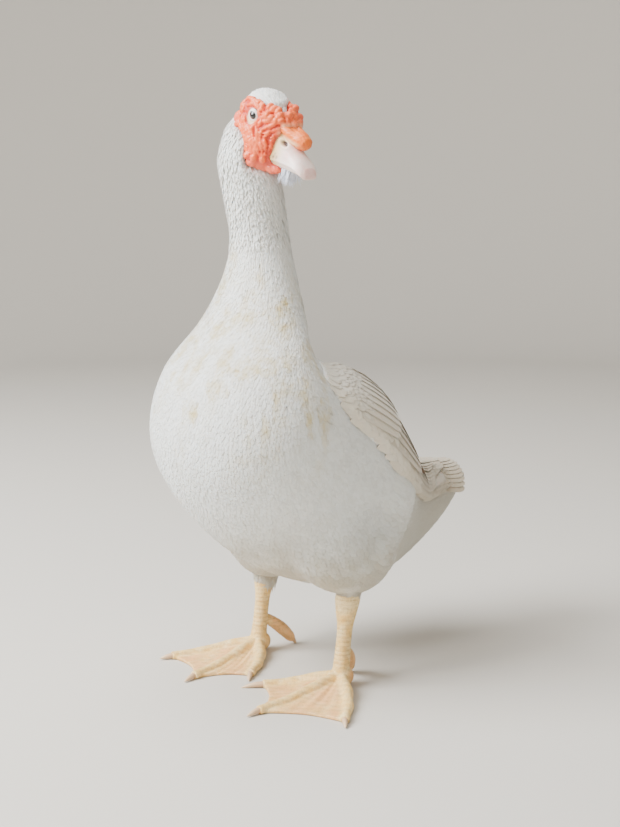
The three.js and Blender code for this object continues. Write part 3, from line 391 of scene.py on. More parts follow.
class HeadSurface(Surface):
    """The feathered head. u is degrees from the bill to the nape, v is degrees round from the crown."""

    steps = (1.0, 1.0)
    unwrap = (0.02, 0.96, 180.0)
    eyes_middle = np.array([27.3, -52.7, 543.0])
    turn, drop, tilt, size = 88.0, 27.0, -5.0, 1.043  # degrees, and the head's size
    middle = np.array([0.0, -6.0, -15.0])
    blend = 7.0
    # middle and half sizes of the balls that blend into the head, as side, ahead and up
    balls = (
        ((0, -5, -3), (19, 24, 17.5)),
        ((0, 12, -7), (14, 16, 17)),
        ((9.5, 3, -22), (12, 22, 18)),
        ((-9.5, 3, -22), (12, 22, 18)),
        ((0, -14, -33), (22.5, 20.5, 24)),
        ((0, 16, -30), (12, 24, 8.5)),
    )

    def __init__(self) -> None:
        """Works out the matrix of the head's turn, drop, tilt and size."""
        self.matrix = spin(2, self.turn) @ spin(0, self.drop) @ spin(1, self.tilt) * self.size

    def to_bird(self, spots: Array) -> Array:
        """Points given as side, ahead and up of the head, in the bird's frame."""
        return (np.asarray(spots, float) * [1, -1, 1]) @ self.matrix.T + self.eyes_middle

    def to_head(self, points: Array) -> Array:
        """Points of the bird's frame as side, ahead and up of the head."""
        return ((points - self.eyes_middle) @ np.linalg.inv(self.matrix).T) * [1, -1, 1]

    def distance(self, spots: Array) -> Array:
        """About how far spots are outside the head, in the head's millimetres."""
        best = np.full(spots.shape[:-1], 1e9)
        for centre, radii in self.balls:
            scaled = (spots - centre) / radii
            far = np.linalg.norm(scaled, axis=-1)
            near = far * (far - 1) / np.maximum(np.linalg.norm(scaled / radii, axis=-1), TINY)
            h = np.maximum(self.blend - np.abs(best - near), 0) / self.blend
            best = np.minimum(best, near) - h * h * self.blend / 4
        return best

    def exit(self, start: Array, heading: Array, out: Number) -> Array:
        """Where rays from inside the head leave its surface.

        Args:
            start: Their starts, as side, ahead and up.
            heading: Their directions.
            out: How far the surface is grown.

        Returns:
            The spots where they leave it.
        """
        near = np.zeros(heading.shape[:-1])
        far = near + 90.0
        for _ in range(24):
            half = (near + far) / 2
            inside = self.distance(start + heading * half[..., None]) < out
            near, far = np.where(inside, half, near), np.where(inside, far, half)
        return start + heading * near[..., None]

    def spot(self, u: Array, v: Array, out: Number) -> Array:
        """The place at u and v as side, ahead and up."""
        polar, turn = np.radians(u), np.radians(v)
        side = np.sin(polar)
        heading = np.stack([side * np.sin(turn), np.cos(polar) + 0 * turn, side * np.cos(turn)], -1)
        return self.exit(self.middle, heading, out)

    def point(self, u: Array, v: Array, out: Number) -> Array:
        """The place at u and v, lifted outward by out."""
        return self.to_bird(self.spot(u, v, out))

    def jowl(self, spots: Array) -> Array:
        """How far the heavy jowls raise the face's bare skin at these spots."""
        side, ahead, up = np.moveaxis(spots, -1, 0)
        heap = np.exp(-(((ahead - 13) / 8) ** 2) - ((up + 36) / 7) ** 2)
        return 5.0 * heap * ease(np.abs(side) / 8)

    def cheek(self, ahead: Array, up: Array, side: int, out: Number) -> Array:
        """Spots on one side of the head, found straight out from its middle plane."""
        start = np.stack([0 * ahead, ahead, up], -1)
        way = np.broadcast_to([float(side), 0, 0], start.shape)
        spots = self.exit(start, way, out)
        return spots + way * self.jowl(spots)[..., None]


class CrownedHead(HeadSurface):
    """The head with its coat, which is fuller on the crown."""

    def puff(self, spots: Array) -> Array:
        """How far the crown's fuller feathers raise the coat at these spots."""
        side, ahead, up = np.moveaxis(spots, -1, 0)
        fore = ease((11.5 - 0.05 * side**2 - ahead + 2.0) / 5.0)
        return (2.6 + 0.15 * side) * fore * step(ahead, -34, 16) * step(up, 4.5, 5.0)

    def point(self, u: Array, v: Array, out: Number) -> Array:
        """The place at u and v, lifted outward by out."""
        return self.to_bird(self.spot(u, v, out + self.puff(self.spot(u, v, 0.0))))


class ThighSurface(Surface):
    """A feathered thigh. u runs up from the hock, v is degrees round it."""

    lie = -1.0
    taper = 0.26  # how much the fringe below the last row draws in

    def __init__(self, side: int, hock: Sequence[float], cuff: float) -> None:
        """Sets the thigh on its hock.

        Args:
            side: 1 for the left leg and -1 for the right.
            hock: The hock's middle.
            cuff: How far above the hock the feathers end.
        """
        self.side = side
        self.hock = np.asarray(hock, float)
        self.unwrap = (0.02 if side > 0 else 0.52, 0.46, 5.0)
        # up, back, outward, half width across and half width fore and aft, from the hock
        self.stations = np.array(
            [
                (cuff, min(cuff, 0) * 0.17, 0, 12.8, 13.4),
                (mix(cuff, 22, 0.35), 0, 0, 16.0, 17.0),
                (22, -1, 1, 25, 29),
                (38, -3, 0, 32.5, 41),
                (64, -6, -3, 35, 47),
                (84, -8, -8, 28, 40),
            ]
        )

    def holds(self, points: Array) -> Array:
        """Whether points are inside the thigh."""
        x, y, up = np.moveaxis(points - self.hock, -1, 0)
        rows = self.stations.T
        back, outward, half_x, half_y = (np.interp(up, rows[0], row) for row in rows[1:])
        far = ((x - self.side * outward) / half_x) ** 2 + ((y - back) / half_y) ** 2
        return (far < 1) & (up > rows[0, 1]) & (up < rows[0, -1])

    def point(self, u: Array, v: Array, out: Number) -> Array:
        """The place at u and v, lifted outward by out."""
        u = np.asarray(u, float)
        up, back, outward, half_x, half_y = np.moveaxis(on_stations(self.stations, u), -1, 0)
        turn = np.radians(v)
        fringe = np.clip(-u, 0.0, 2.0) * (self.stations[1, 0] - self.stations[0, 0])
        x = self.side * outward + (half_x + out - self.taper * fringe) * np.cos(turn)
        y = back + (half_y + out - self.taper * fringe) * np.sin(turn)
        return np.stack([x, y, up - fringe - 0 * turn], -1) + self.hock


class WingSurface(Surface):
    """The left wing's outer surface. u runs from the wrist to the tips, v is degrees round the body."""

    front_place, rear_place = 8.05, 1.15
    # upper edge, lower edge and thickness over the body, from front to rear
    edges = (
        (36, 57, 2.5),
        (22, 68, 9.5),
        (14, 70, 10.8),
        (11, 69, 8.6),
        (11, 70, 6.2),
        (12, 72, 4.0),
        (15, 60, 2.0),
    )

    def __init__(self, body: BodySurface) -> None:
        """Lays the wing on the body."""
        self.body = body

    def place(self, u: Number) -> Number:
        """The body's place under u."""
        return mix(self.front_place, self.rear_place, u)

    def edge(self, u: Array) -> Array:
        """The upper edge, lower edge and thickness at u."""
        return np.moveaxis(on_stations(self.edges, np.clip(u, 0, 1) * (len(self.edges) - 1)), -1, 0)

    def lift(self, u: Number) -> Array:
        """How far the wing's rear stands off the body."""
        return 4.0 * step(u, 0.6, 0.4)

    def height(self, u: Array, v: Array) -> Array:
        """How far the wing's surface is over the body at u and v."""
        upper, lower, thick = self.edge(u)
        share = np.clip((v - upper) / (lower - upper), 0, 1)
        crown = np.sqrt(np.maximum(0, 1 - (2 * share - 1) ** 4))
        return mix(0.4, thick, crown * np.clip(u / 0.12, 0.0, 1.0)) + self.lift(u)

    def point(self, u: Array, v: Array, out: Number) -> Array:
        """The place at u and v, lifted outward by out."""
        u, v = np.broadcast_arrays(np.asarray(u, float), np.asarray(v, float))
        return self.over_body(u, v, self.height(u, v) + out)

    def over_body(self, u: Array, v: Array, out: Array) -> Array:
        """The place straight out from the body at u and v."""
        place = self.place(u)
        return self.body.point(place, v, 0.0) + self.body.normal(place, v) * out[..., None]

    def bake_place(self, u: Array, v: Array) -> Array:
        """Where u and v are on the unwrap of the skin, from 0 to 1."""
        return np.stack([0.02 + 0.96 * np.clip(v / 90.0, 0, 1), 0.02 + 0.94 * np.clip(u, 0, 1)], -1)


class TailSurface(Surface):
    """The tail's roofed fan. u is millimetres from its root and v runs from -1 to 1 across it."""

    steps = (0.5, 0.02)
    root = np.array([0.0, 166.0, 190.0])
    spread, roof, drop, bank, half_root, length = 25.0, 26.0, 3.0, 38.0, 20.0, 70.0

    def point(self, u: Array, v: Array, out: Number) -> Array:
        """The place at u and v, lifted outward by out."""
        u, v = np.broadcast_arrays(np.asarray(u, float), np.asarray(v, float))
        heading, bank = np.radians(self.spread * v), np.radians(self.bank * v)
        roof = self.roof * v * v * (0.55 + 0.45 * (u / self.length))
        x = self.half_root * v + np.sin(heading) * u
        z = -roof - u * math.tan(math.radians(self.drop))
        outward = np.stack([np.sin(bank), 0 * bank, np.cos(bank)], -1)
        lift = outward * np.broadcast_to(out, u.shape)[..., None]
        return self.root + np.stack([x, np.cos(heading) * u, z], -1) + lift

    def bake_place(self, u: Array, v: Array) -> Array:
        """Where u and v are on the unwrap of the skin, from 0 to 1."""
        return np.stack([0.5 + 0.46 * np.clip(v, -1, 1), 0.05 + 0.8 * np.clip(u / 100, 0, 1)], -1)


# Feathers


class Outline(Enum):
    """How a feather's width and tip change from its root, as stations, width shares and tip lag."""

    CONTOUR = ((0.0, 0.4, 0.72, 0.9, 1.0), (0.6, 1.0, 0.86, 0.5, 0.06), (0.0, 0.0, 0.02, 0.03, 0.01))
    TUFT = ((0.0, 0.4, 0.78, 1.0), (0.7, 1.0, 0.66, 0.05), (0.0, 0.0, 0.02, 0.02))
    FLIGHT = (
        (0.0, 0.14, 0.3, 0.5, 0.7, 0.84, 0.93, 0.98, 1.0),
        (0.4, 0.8, 0.95, 1.0, 0.98, 0.9, 0.7, 0.42, 0.1),
        (0.0, 0.0, 0.0, 0.0, 0.0, 0.01, 0.02, 0.015, 0.0),
    )


@dataclass
class Vanes:
    """A batch of like feathers on one surface. Each value is one number, or one for each feather."""

    surface: Surface
    u: Array
    v: Array
    length: Number
    width: Number
    outline: Outline = Outline.CONTOUR
    skew: Number = 0.0
    root_out: Number = -2.4
    tip_out: Number = -0.2
    curl: float = 0.3
    tilt: Number = 0.0
    # painted shade: darker edges stand in for the shade where neighbouring feathers overlap
    edge_tint: float = 0.0  # how much darker the edges are than the shaft
    thick: float = 0.35
    drift: Number = 0.0  # how far the tip is turned across, in units of v
    patch = 0.003  # the width of a feather on the skin's unwrap

    def column(self, name: str) -> Array:
        """One of the values as a column with a row for each feather."""
        return np.broadcast_to(np.asarray(getattr(self, name), float), len(self.u))[:, None]

    def sheet(self, marks: Callable[[Array], Array]) -> Sheet:
        """Builds the feathers.

        Each is a thin closed vane: two strips over it, which meet along the raised shaft, and one under.

        Args:
            marks: Gives the plumage's marks at points in millimetres.

        Returns:
            All the feathers in one sheet.
        """
        stations, widths, lags = (np.array(row) for row in self.outline.value)
        count, rows = len(self.u), len(stations)
        scale_u, scale_v = (scale[:, None] for scale in self.surface.scale(self.u, self.v))
        names = ("u", "v", "length", "width", "skew", "drift", "root_out", "tip_out", "curl", "tilt")
        u, v, length, width, skew, drift, root_out, tip_out, curl, tilt = map(self.column, names)
        lie = self.surface.lie
        u = u + lie * stations * length * np.cos(skew) / scale_u
        v = v + stations * length * np.sin(skew) / scale_v + drift * ease(stations)
        tip_scale = self.surface.scale(u[:, -2], v[:, -2])[1][:, None]
        half = width * widths / 2 / mix(scale_v, tip_scale, stations)
        out = mix(root_out, tip_out, stations**0.85) - curl * stations**4
        back = u - lie * lags * length / scale_u
        lean = tilt * width * widths / 2
        left = self.surface.point(back, v - half, out + lean)
        right = self.surface.point(back, v + half, out - lean)
        middle = self.surface.point(u, v, out + self.thick)
        points = np.stack([left, middle, right, left, right], 2)
        sheet = self.faces(points)
        sheet.marks = np.repeat(marks(middle[:, rows // 2]), rows * 5, axis=0)
        # painted shade along each feather's edges, added to its third mark so that overlapping feathers stand
        # apart
        sheet.marks[:, 2] += self.edge_tint * np.tile([1.0, 0.0, 1.0, 1.0, 1.0], count * rows)
        # each feather's small patch on the skin's unwrap, and its own coordinates in centimetres
        across = np.array([-1.0, 0.0, 1.0, -1.0, 1.0])
        local = np.broadcast_arrays(across * self.patch / 2, (stations[:, None] - 0.5) * self.patch)
        place = self.surface.bake_place(self.u, self.v)[:, None, None, :]
        sheet.bake = (place + np.stack(local, -1)).reshape(-1, 2)
        own = np.broadcast_arrays(width[:, :, None] / 20 * across, (length * stations / 10)[:, :, None])
        sheet.vane = np.stack(own, -1).reshape(-1, 2)
        return sheet

    def faces(self, points: Array) -> Sheet:
        """Joins the points of each vane, by feather, row and place across, to faces that look outward."""
        index = np.arange(points.size // 3).reshape(points.shape[:3])
        a, b = index[:, :-1], index[:, 1:]
        pairs = ((0, 1), (1, 2), (4, 3))
        strips = [np.stack([a[..., i], a[..., k], b[..., k], b[..., i]], -1) for i, k in pairs]
        quads = np.concatenate([strip.reshape(-1, 4) for strip in strips])
        caps = np.concatenate([index[:, 0][:, [0, 2, 1]], index[:, -1][:, [0, 1, 2]]])
        left, middle, right = (points[:, 1, k] for k in range(3))
        across = np.cross(right - left, middle - points[:, 0, 1])
        if np.sum(across * (middle - (left + right) / 2)) < 0:
            quads, caps = quads[:, ::-1], caps[:, ::-1]
        return Sheet(points.reshape(-1, 3), quads, caps)


# Finishes


def add_node(tree: Tree, kind: str, inputs: dict[Any, Any], **settings: Any) -> bpy.types.Node:
    """Adds one shader node.

    Args:
        tree: The material's node tree.
        kind: The node's type, without the prefix that all have.
        inputs: Values or output sockets for its inputs, by name or number.
        **settings: Values for its own properties.

    Returns:
        The node.
    """
    node = tree.nodes.new("ShaderNode" + kind)
    for name, value in settings.items():
        setattr(node, name, value)
    for name, value in inputs.items():
        if isinstance(value, bpy.types.NodeSocket):
            tree.links.new(value, node.inputs[name])
        else:
            node.inputs[name].default_value = value
    return node


@dataclass(frozen=True)
class Pattern:
    """A value over a piece: one of its mesh's marks, or else clouds or scales of a width in millimetres."""

    mark: int | None = None
    width: float = 1.0
    detail: float = 4.0
    rough: float = 0.6
    scales: bool = False
    span: tuple[float, float] | None = None  # the values that become 0 and 1

    def spread(self, low: float, high: float) -> "Pattern":
        """The same pattern, spread so that low becomes 0 and high becomes 1."""
        return replace(self, span=(low, high))

    def socket(self, tree: Tree, marks: Any) -> Any:
        """Adds the pattern to a material, whose marks are given, and returns its output socket."""
        where = {"Vector": add_node(tree, "TexCoord", {}).outputs["Object"], "Scale": 1 / (self.width * MM)}
        if self.mark is not None:
            value = marks[self.mark]
        elif self.scales:
            value = add_node(tree, "TexVoronoi", where, feature="DISTANCE_TO_EDGE").outputs["Distance"]
        else:
            where |= {"Detail": self.detail, "Roughness": self.rough}
            value = add_node(tree, "TexNoise", where).outputs["Fac"]
        if self.span is None:
            return value
        inputs = {"Value": value, "From Min": self.span[0], "From Max": self.span[1]}
        return add_node(tree, "MapRange", inputs, interpolation_type="SMOOTHSTEP").outputs["Result"]


@dataclass(frozen=True)
class Layer:
    """A colour over the ones below it, as strong as its share times its patterns."""

    colour: str
    share: float = 1.0
    patterns: tuple[Pattern, ...] = ()


@dataclass(frozen=True)
class Relief:
    """Small relief that follows a pattern: its depth in millimetres and how much of it shows."""

    pattern: Pattern
    depth: float
    strength: float


MARKS = tuple(Pattern(mark=number) for number in range(3))


@dataclass(frozen=True)
class Finish:
    """What every material shares: its name, base colour, and how its surface throws light back."""

    name: str
    colour: str
    roughness: float = 0.5
    ior: float = 1.5
    sheen: float = 0.0
    coat: float = 0.0
    subsurface: float = 0.0
    relief: ClassVar[Relief | None] = None

    def material(self) -> bpy.types.Material:
        """The material, made once."""
        found = bpy.data.materials.get(self.name)
        if found:
            return found
        made = bpy.data.materials.new(self.name)
        made.use_nodes = True
        shader = made.node_tree.nodes["Principled BSDF"]
        values = {
            "Base Color": linear(self.colour),
            "Roughness": self.roughness,
            "IOR": self.ior,
            "Sheen Weight": self.sheen,
            "Coat Weight": self.coat,
            "Subsurface Weight": self.subsurface,
            "Subsurface Radius": (1.0, 0.5, 0.35),
            "Subsurface Scale": 1.6 * MM,
        }
        for name, value in values.items():
            shader.inputs[name].default_value = value
        self.dress(made.node_tree, shader)
        return made

    def layers(self) -> tuple[Layer, ...]:
        """The finish's colours, from the ground up."""
        return (Layer(self.colour),)

    def height(self, tree: Tree, marks: Any) -> Any:
        """The output socket of the relief's height."""
        return self.relief.pattern.socket(tree, marks)

    def dress(self, tree: Tree, shader: bpy.types.Node) -> None:
        """Lays the finish's colours over each other, and adds its relief."""
        source = add_node(tree, "Attribute", {}, attribute_name="Marks")
        marks = add_node(tree, "SeparateColor", {"Color": source.outputs["Color"]}).outputs
        ground, *others = self.layers()
        colour: Any = linear(ground.colour)
        for layer in others:
            share: Any = layer.share
            for pattern in layer.patterns:
                factors = {0: share, 1: pattern.socket(tree, marks)}
                share = add_node(tree, "Math", factors, operation="MULTIPLY").outputs[0]
            parts = {0: share, 6: colour, 7: linear(layer.colour)}
            colour = add_node(tree, "Mix", parts, data_type="RGBA").outputs[2]
        if others:
            tree.links.new(colour, shader.inputs["Base Color"])
        if self.relief:
            relief = {"Distance": self.relief.depth * MM, "Strength": self.relief.strength}
            bump = add_node(tree, "Bump", {"Height": self.height(tree, marks), **relief})
            tree.links.new(bump.outputs["Normal"], shader.inputs["Normal"])


@dataclass(frozen=True)
class Plumage(Finish):
    """White keratin barbs, preened and a little soiled, darkened by painted shade on the rear, the underside
    and the flight feathers' edges: soft white with a faint sheen and fine ribs.
    """

    cream: str = "#D2B154"
    # the colour of both the dust and the painted shade, warm like shade lit by light thrown up from the floor
    dust_and_shade: str = "#A89A82"
    barb_mm: float = 1.1  # real barbs are 0.3 mm apart, drawn coarser so that they show at this size
    relief = Relief(Pattern(width=0.8, detail=3.0), 0.16, 0.55)

    def layers(self) -> tuple[Layer, ...]:
        """White, each feather's own tint with painted shade along the edges of flight feathers, patchy
        stains, and dust with painted shade.
        """
        soil, dust_and_shade, tint = MARKS
        patches = Pattern(width=14.0, detail=6.0, rough=0.65).spread(0.28, 0.78)
        return (
            Layer(self.colour),
            # the third mark: each feather's own tint, plus painted shade along the edges of wing and tail
            # feathers
            Layer(self.dust_and_shade, 0.34, (tint,)),
            Layer(self.cream, 0.85, (soil, patches)),
            # the second mark: some real dust, with painted shade over the rear and the underside
            Layer(self.dust_and_shade, 0.75, (dust_and_shade,)),
        )

    def height(self, tree: Tree, marks: Any) -> Any:
        """The barbs' ribs, which slant from the shaft, with a fine grain over them."""
        vane = add_node(tree, "UVMap", {}, uv_map="Vane")
        place = add_node(tree, "SeparateXYZ", {"Vector": vane.outputs["UV"]}).outputs
        side = add_node(tree, "Math", {0: place["X"]}, operation="ABSOLUTE").outputs[0]
        turns = 62.8 / self.barb_mm  # the wave's radians over a centimetre
        fine = super().height(tree, marks)
        steps = [("SUBTRACT", side), ("MULTIPLY_ADD", turns), ("SINE", 0.0), ("MULTIPLY_ADD", 0.35)]
        value = place["Y"]
        for operation, second in (*steps, ("ADD", fine)):
            value = add_node(tree, "Math", {0: value, 1: second}, operation=operation).outputs[0]
        return value


@dataclass(frozen=True)
class CaruncleSkin(Finish):
    """Bare, blood-filled skin in warty folds: waxy orange-red, darker in the creases and paler on the crests
    by its first mark, which on the mask is painted shade and a painted highlight.
    """

    crease: str = "#A8301A"
    crest: str = "#F59A66"
    pink: str = "#EC6A58"
    pale: str = "#F7DDB0"
    relief = Relief(Pattern(width=0.9, detail=5.0, rough=0.7), 0.3, 0.6)

    def layers(self) -> tuple[Layer, ...]:
        """The crease, own and crest colours along the first mark, which on the mask are painted shade and a
        painted highlight, then pinker lobes, the pale eye ring and blotches.
        """
        rise, pinker, paler = MARKS
        return (
            Layer(self.crease),
            Layer(self.colour, 1.0, (rise.spread(0.0, 0.45),)),
            Layer(self.crest, 0.55, (rise.spread(0.45, 1.0),)),
            Layer(self.pink, 0.7, (pinker,)),
            Layer(self.pale, 1.0, (paler,)),
            Layer(self.crease, 0.3, (Pattern(width=5.0).spread(0.35, 0.75),)),
        )


@dataclass(frozen=True)
class BillSkin(Finish):
    """Thin skin over horn, smooth and waxy: pinkish white, yellow at the base, with painted shade in the
    nostrils.
    """

    yellow: str = "#EBCB8A"
    dark: str = "#4A3230"
    flush: str = "#DE8F80"
    relief = Relief(Pattern(width=1.6, detail=5.0, rough=0.65), 0.25, 0.35)

    def layers(self) -> tuple[Layer, ...]:
        """A pink flush in clouds, the yellow base, the flushed places, and the dark nostril, which is painted
        shade, with real dark specks.
        """
        dark, yellow, flush = MARKS
        return (
            Layer(self.colour),
            Layer(self.flush, 0.3, (Pattern(width=7.0).spread(0.45, 0.75),)),
            Layer(self.yellow, 1.0, (yellow,)),
            Layer(self.flush, 0.6, (flush,)),
            Layer(self.dark, 1.0, (dark,)),
        )


@dataclass(frozen=True)
class EyeGloss(Finish):
    """A wet eyeball: a black pupil, a pale iris with fine rays and a dark rim, all under a clear coat."""

    iris: str = "#C9D3D6"
    rim: str = "#3A3A44"

    def layers(self) -> tuple[Layer, ...]:
        """The rayed iris, with pupil and rim as rings round the gaze, which the mesh gives from 0 there."""
        ring = MARKS[0]
        return (
            Layer(self.iris),
            Layer(self.rim, 0.35, (Pattern(width=0.5, detail=2.0),)),
            Layer(self.colour, 1.0, (ring.spread(0.43, 0.40),)),
            Layer(self.rim, 1.0, (ring.spread(0.50, 0.54),)),
        )


@dataclass(frozen=True)
class LegHide(Finish):
    """Scaled hide of leg and web: matt ochre scales, a pinker web, and soil in the seams."""

    web: str = "#F4B57C"
    seam: str = "#AE864C"
    pale: str = "#FFEEC0"
    cells: ClassVar[Pattern] = Pattern(width=1.9, scales=True)
    relief = Relief(cells.spread(0.0, 0.12), 0.3, 0.5)

    def layers(self) -> tuple[Layer, ...]:
        """Worn pale patches, the web, pale joints, soiled seams and the small scales' edges."""
        web, seam, pale = MARKS
        return (
            Layer(self.colour),
            Layer(self.pale, 0.5, (Pattern(width=8.0).spread(0.4, 0.7),)),
            Layer(self.web, 0.8, (web,)),
            Layer(self.pale, 0.7, (pale,)),
            Layer(self.seam, 0.8, (seam,)),
            Layer(self.seam, 0.3, (self.cells.spread(0.12, 0.0),)),
        )


@dataclass(frozen=True)
class ClawHorn(Finish):
    """Worn claw horn: brown at the root and paler towards a blunt, scuffed tip."""

    tip: str = "#D8BC98"
    relief = Relief(Pattern(width=1.2), 0.15, 0.4)

    def layers(self) -> tuple[Layer, ...]:
        """Brown, with the pale tip."""
        return (Layer(self.colour), Layer(self.tip, 1.0, (MARKS[0],)))


@dataclass(frozen=True)
class StudioFloor(Finish):
    """A plain painted studio floor: pale grey and matt, with the faintest unevenness."""

    relief = Relief(Pattern(width=3.0, detail=3.0), 0.05, 0.2)


WARM = {"roughness": 0.4, "ior": 1.42, "coat": 0.15}
PLUMAGE = Plumage("white_plumage_preened", "#FAF8F2", roughness=0.6, sheen=0.2, subsurface=0.3)
# the flight feathers' beige-grey ground, darker than the body's white, is partly soiling and partly painted
# shade over the wings and tail
FLIGHT = Plumage("white_flight_feather", "#E3DACA", roughness=0.5, sheen=0.15, subsurface=0.15, barb_mm=1.6)
TUFT = Plumage("chin_filoplume", "#E9EEFA", roughness=0.6, sheen=0.3, dust_and_shade="#C6CEE2")
CARUNCLE = CaruncleSkin(
    "caruncle_skin_waxy", "#F0541A", subsurface=0.15, crest="#FB8244", crease="#C43614", **WARM
)
KNOB = CaruncleSkin("knob_skin_waxy", "#F0741C", subsurface=0.2, crease="#D05C1C", crest="#F6A25E", **WARM)
LID = CaruncleSkin(
    "eyelid_skin_soft", "#F6E4DE", 0.45, 1.42, subsurface=0.3, crease="#E6BDB2", crest="#FDF4F0"
)
BILL = BillSkin("bill_skin_on_horn", "#F6E2DA", roughness=0.38, ior=1.5, coat=0.1, subsurface=0.15)
NAIL = BillSkin("bill_nail_horn", "#F0D4CE", roughness=0.32, ior=1.54, coat=0.2, subsurface=0.1)
EYE = EyeGloss("eye_wet", "#08080B", roughness=0.06, ior=1.376, coat=1.0)
LEG = LegHide("leg_hide_scaled", "#FAD07A", roughness=0.55, subsurface=0.1)
CLAW = ClawHorn("claw_horn_worn", "#CDA67E", roughness=0.42, ior=1.54)
FLOOR = StudioFloor("studio_floor_paint", "#C8C3BA", roughness=0.85)


# The bench, which turns sheets into pieces of the frame


@dataclass
class Bench:
    """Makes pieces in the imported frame, and counts them."""

    shift: Array
    triangles: int = 0

    @staticmethod
    def from_frame(head: HeadSurface) -> "Bench":
        """Finds the move from the bird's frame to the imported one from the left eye, which both have."""
        low, high = (np.array(c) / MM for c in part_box("eye_left"))
        return Bench((low + high) / 2 - head.to_bird([Eyes.out, 0.0, 0.0]))

    def to_frame(self, points: Array) -> Array:
        """Millimetres of the bird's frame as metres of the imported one."""
        return (points + self.shift) * MM

    def piece(self, name: str, sheet: Sheet, finish: Finish) -> Piece:
        """Makes an object of a sheet, with its finish, and links it to the scene."""
        mesh = bpy.data.meshes.new(name)
        mesh.vertices.add(len(sheet.points))
        mesh.vertices.foreach_set("co", self.to_frame(sheet.points).astype(np.float32).ravel())
        corners = np.concatenate([sheet.quads.ravel(), sheet.tris.ravel()]).astype(np.int32)
        sizes = np.concatenate([np.full(len(sheet.quads), 4), np.full(len(sheet.tris), 3)])
        starts = np.concatenate([[0], np.cumsum(sizes)[:-1]]).astype(np.int32)
        mesh.loops.add(len(corners))
        mesh.loops.foreach_set("vertex_index", corners)
        mesh.polygons.add(len(sizes))
        mesh.polygons.foreach_set("loop_start", starts)
        mesh.update(calc_edges=True)
        for layer, values in (("OFBake", sheet.bake), ("Vane", sheet.vane)):
            if values is not None:
                uv = mesh.uv_layers.new(name=layer)
                uv.uv.foreach_set("vector", values[corners].astype(np.float32).ravel())
        mesh.materials.append(finish.material())
        obj = bpy.data.objects.new(name, mesh)
        bpy.context.scene.collection.objects.link(obj)
        if sheet.marks is not None:
            self.mark(obj, sheet.marks)
        return obj

    def add(self, name: str, sheet: Sheet, finish: Finish, slot: str, *nodes: str) -> None:
        self.declare(self.piece(name, sheet, finish), slot, *nodes)

    def mark(self, obj: Piece, marks: Array) -> None:
        """Writes three marks for each point of an object."""
        layer = obj.data.color_attributes.new(name="Marks", type="FLOAT_COLOR", domain="POINT")
        values = np.concatenate([np.clip(marks, 0, 1), np.ones((len(marks), 1))], -1)
        layer.data.foreach_set("color", values.astype(np.float32).ravel())

    def fused(self, name: str, parts: Sequence[Sheet], finish: Finish, voxel: float, soften: int) -> Piece:
        """Fuses overlapping closed sheets into one smooth body.

        Args:
            name: The piece's name.
            parts: The closed sheets.
            finish: Its finish.
            voxel: The detail that it keeps, in millimetres.
            soften: How many times the surface is smoothed.

        Returns:
            The object.
        """
        bare = [Sheet(p.points, p.quads, p.tris) for p in parts]
        obj = self.piece(name, Sheet.joined(bare), finish)
        fuse = obj.modifiers.new("fuse", "REMESH")
        fuse.mode = "VOXEL"
        fuse.voxel_size = voxel * MM
        smooth = obj.modifiers.new("soften", "SMOOTH")
        smooth.factor = 0.5
        smooth.iterations = soften
        depsgraph = bpy.context.evaluated_depsgraph_get()
        mesh = bpy.data.meshes.new_from_object(obj.evaluated_get(depsgraph))
        obj.modifiers.clear()
        old = obj.data
        obj.data = mesh
        bpy.data.meshes.remove(old)
        mesh.name = name
        mesh.shade_smooth()
        return obj

    def points_of(self, obj: Piece) -> Array:
        """An object's points in the bird's frame."""
        flat = np.empty(len(obj.data.vertices) * 3, np.float32)
        obj.data.vertices.foreach_get("co", flat)
        return flat.reshape(-1, 3).astype(float) / MM - self.shift

    def move_points(self, obj: Piece, points: Array) -> None:
        """Moves an object's points to places in the bird's frame."""
        obj.data.vertices.foreach_set("co", self.to_frame(points).astype(np.float32).ravel())
        obj.data.update()

    def declare(self, obj: Piece, slot: str, *nodes: str) -> None:
        """Sets a piece on the still body, hides the CAD nodes that it replaces, and counts its triangles."""
        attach(obj, "root")
        if nodes:
            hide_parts(*nodes)
        count = int(np.sum([len(p.vertices) - 2 for p in obj.data.polygons]))
        self.triangles += count
        log.info("%s: %d triangles", obj.name, count)


# Plumage


class PlumageMarks:
    """Where the plumage is stained, dusty and darkened by painted shade, or a little darker, in the bird's
    frame.
    """

    def __init__(self, seed: int = 1) -> None:
        """Starts the source of each feather's own tint."""
        self.draw = np.random.default_rng(seed)

    def __call__(self, points: Array) -> Array:
        """The stain, the dust with painted shade, and the tint at each point."""
        x, y, z = np.moveaxis(points, -1, 0)
        streaked = points * [1.0, 1.0, 0.4]
        front = step(y, -10, -60) * step(x, -75, 50)
        stain = front * hump((z - 352) / 55) * (0.4 + 1.6 * step(mottle(streaked, 34, 1), 0.4, 0.35))
        stain += hump((z - 285) / 45) * front * step(mottle(streaked, 40, 2), 0.48, 0.3)
        flecks = (self.draw.random(x.shape) < 0.02) & (stain > 0.45)
        # painted shade with some real dust: the rear, which turns away from the light, and the underside are
        # darker
        dust_and_shade = 1.1 * step(y, 30, 120) * (0.5 + 0.8 * mottle(points, 70, 3))
        dust_and_shade += 1.1 * step(z, 195, -90) * (0.5 + 0.8 * mottle(points, 40, 4))
        dust_and_shade = np.where(flecks, 0.6, dust_and_shade)
        tint = self.draw.random(x.shape) ** 2 * 0.5 + 0.3 * mottle(points, 25, 5)
        return np.stack([stain, dust_and_shade, tint], -1)


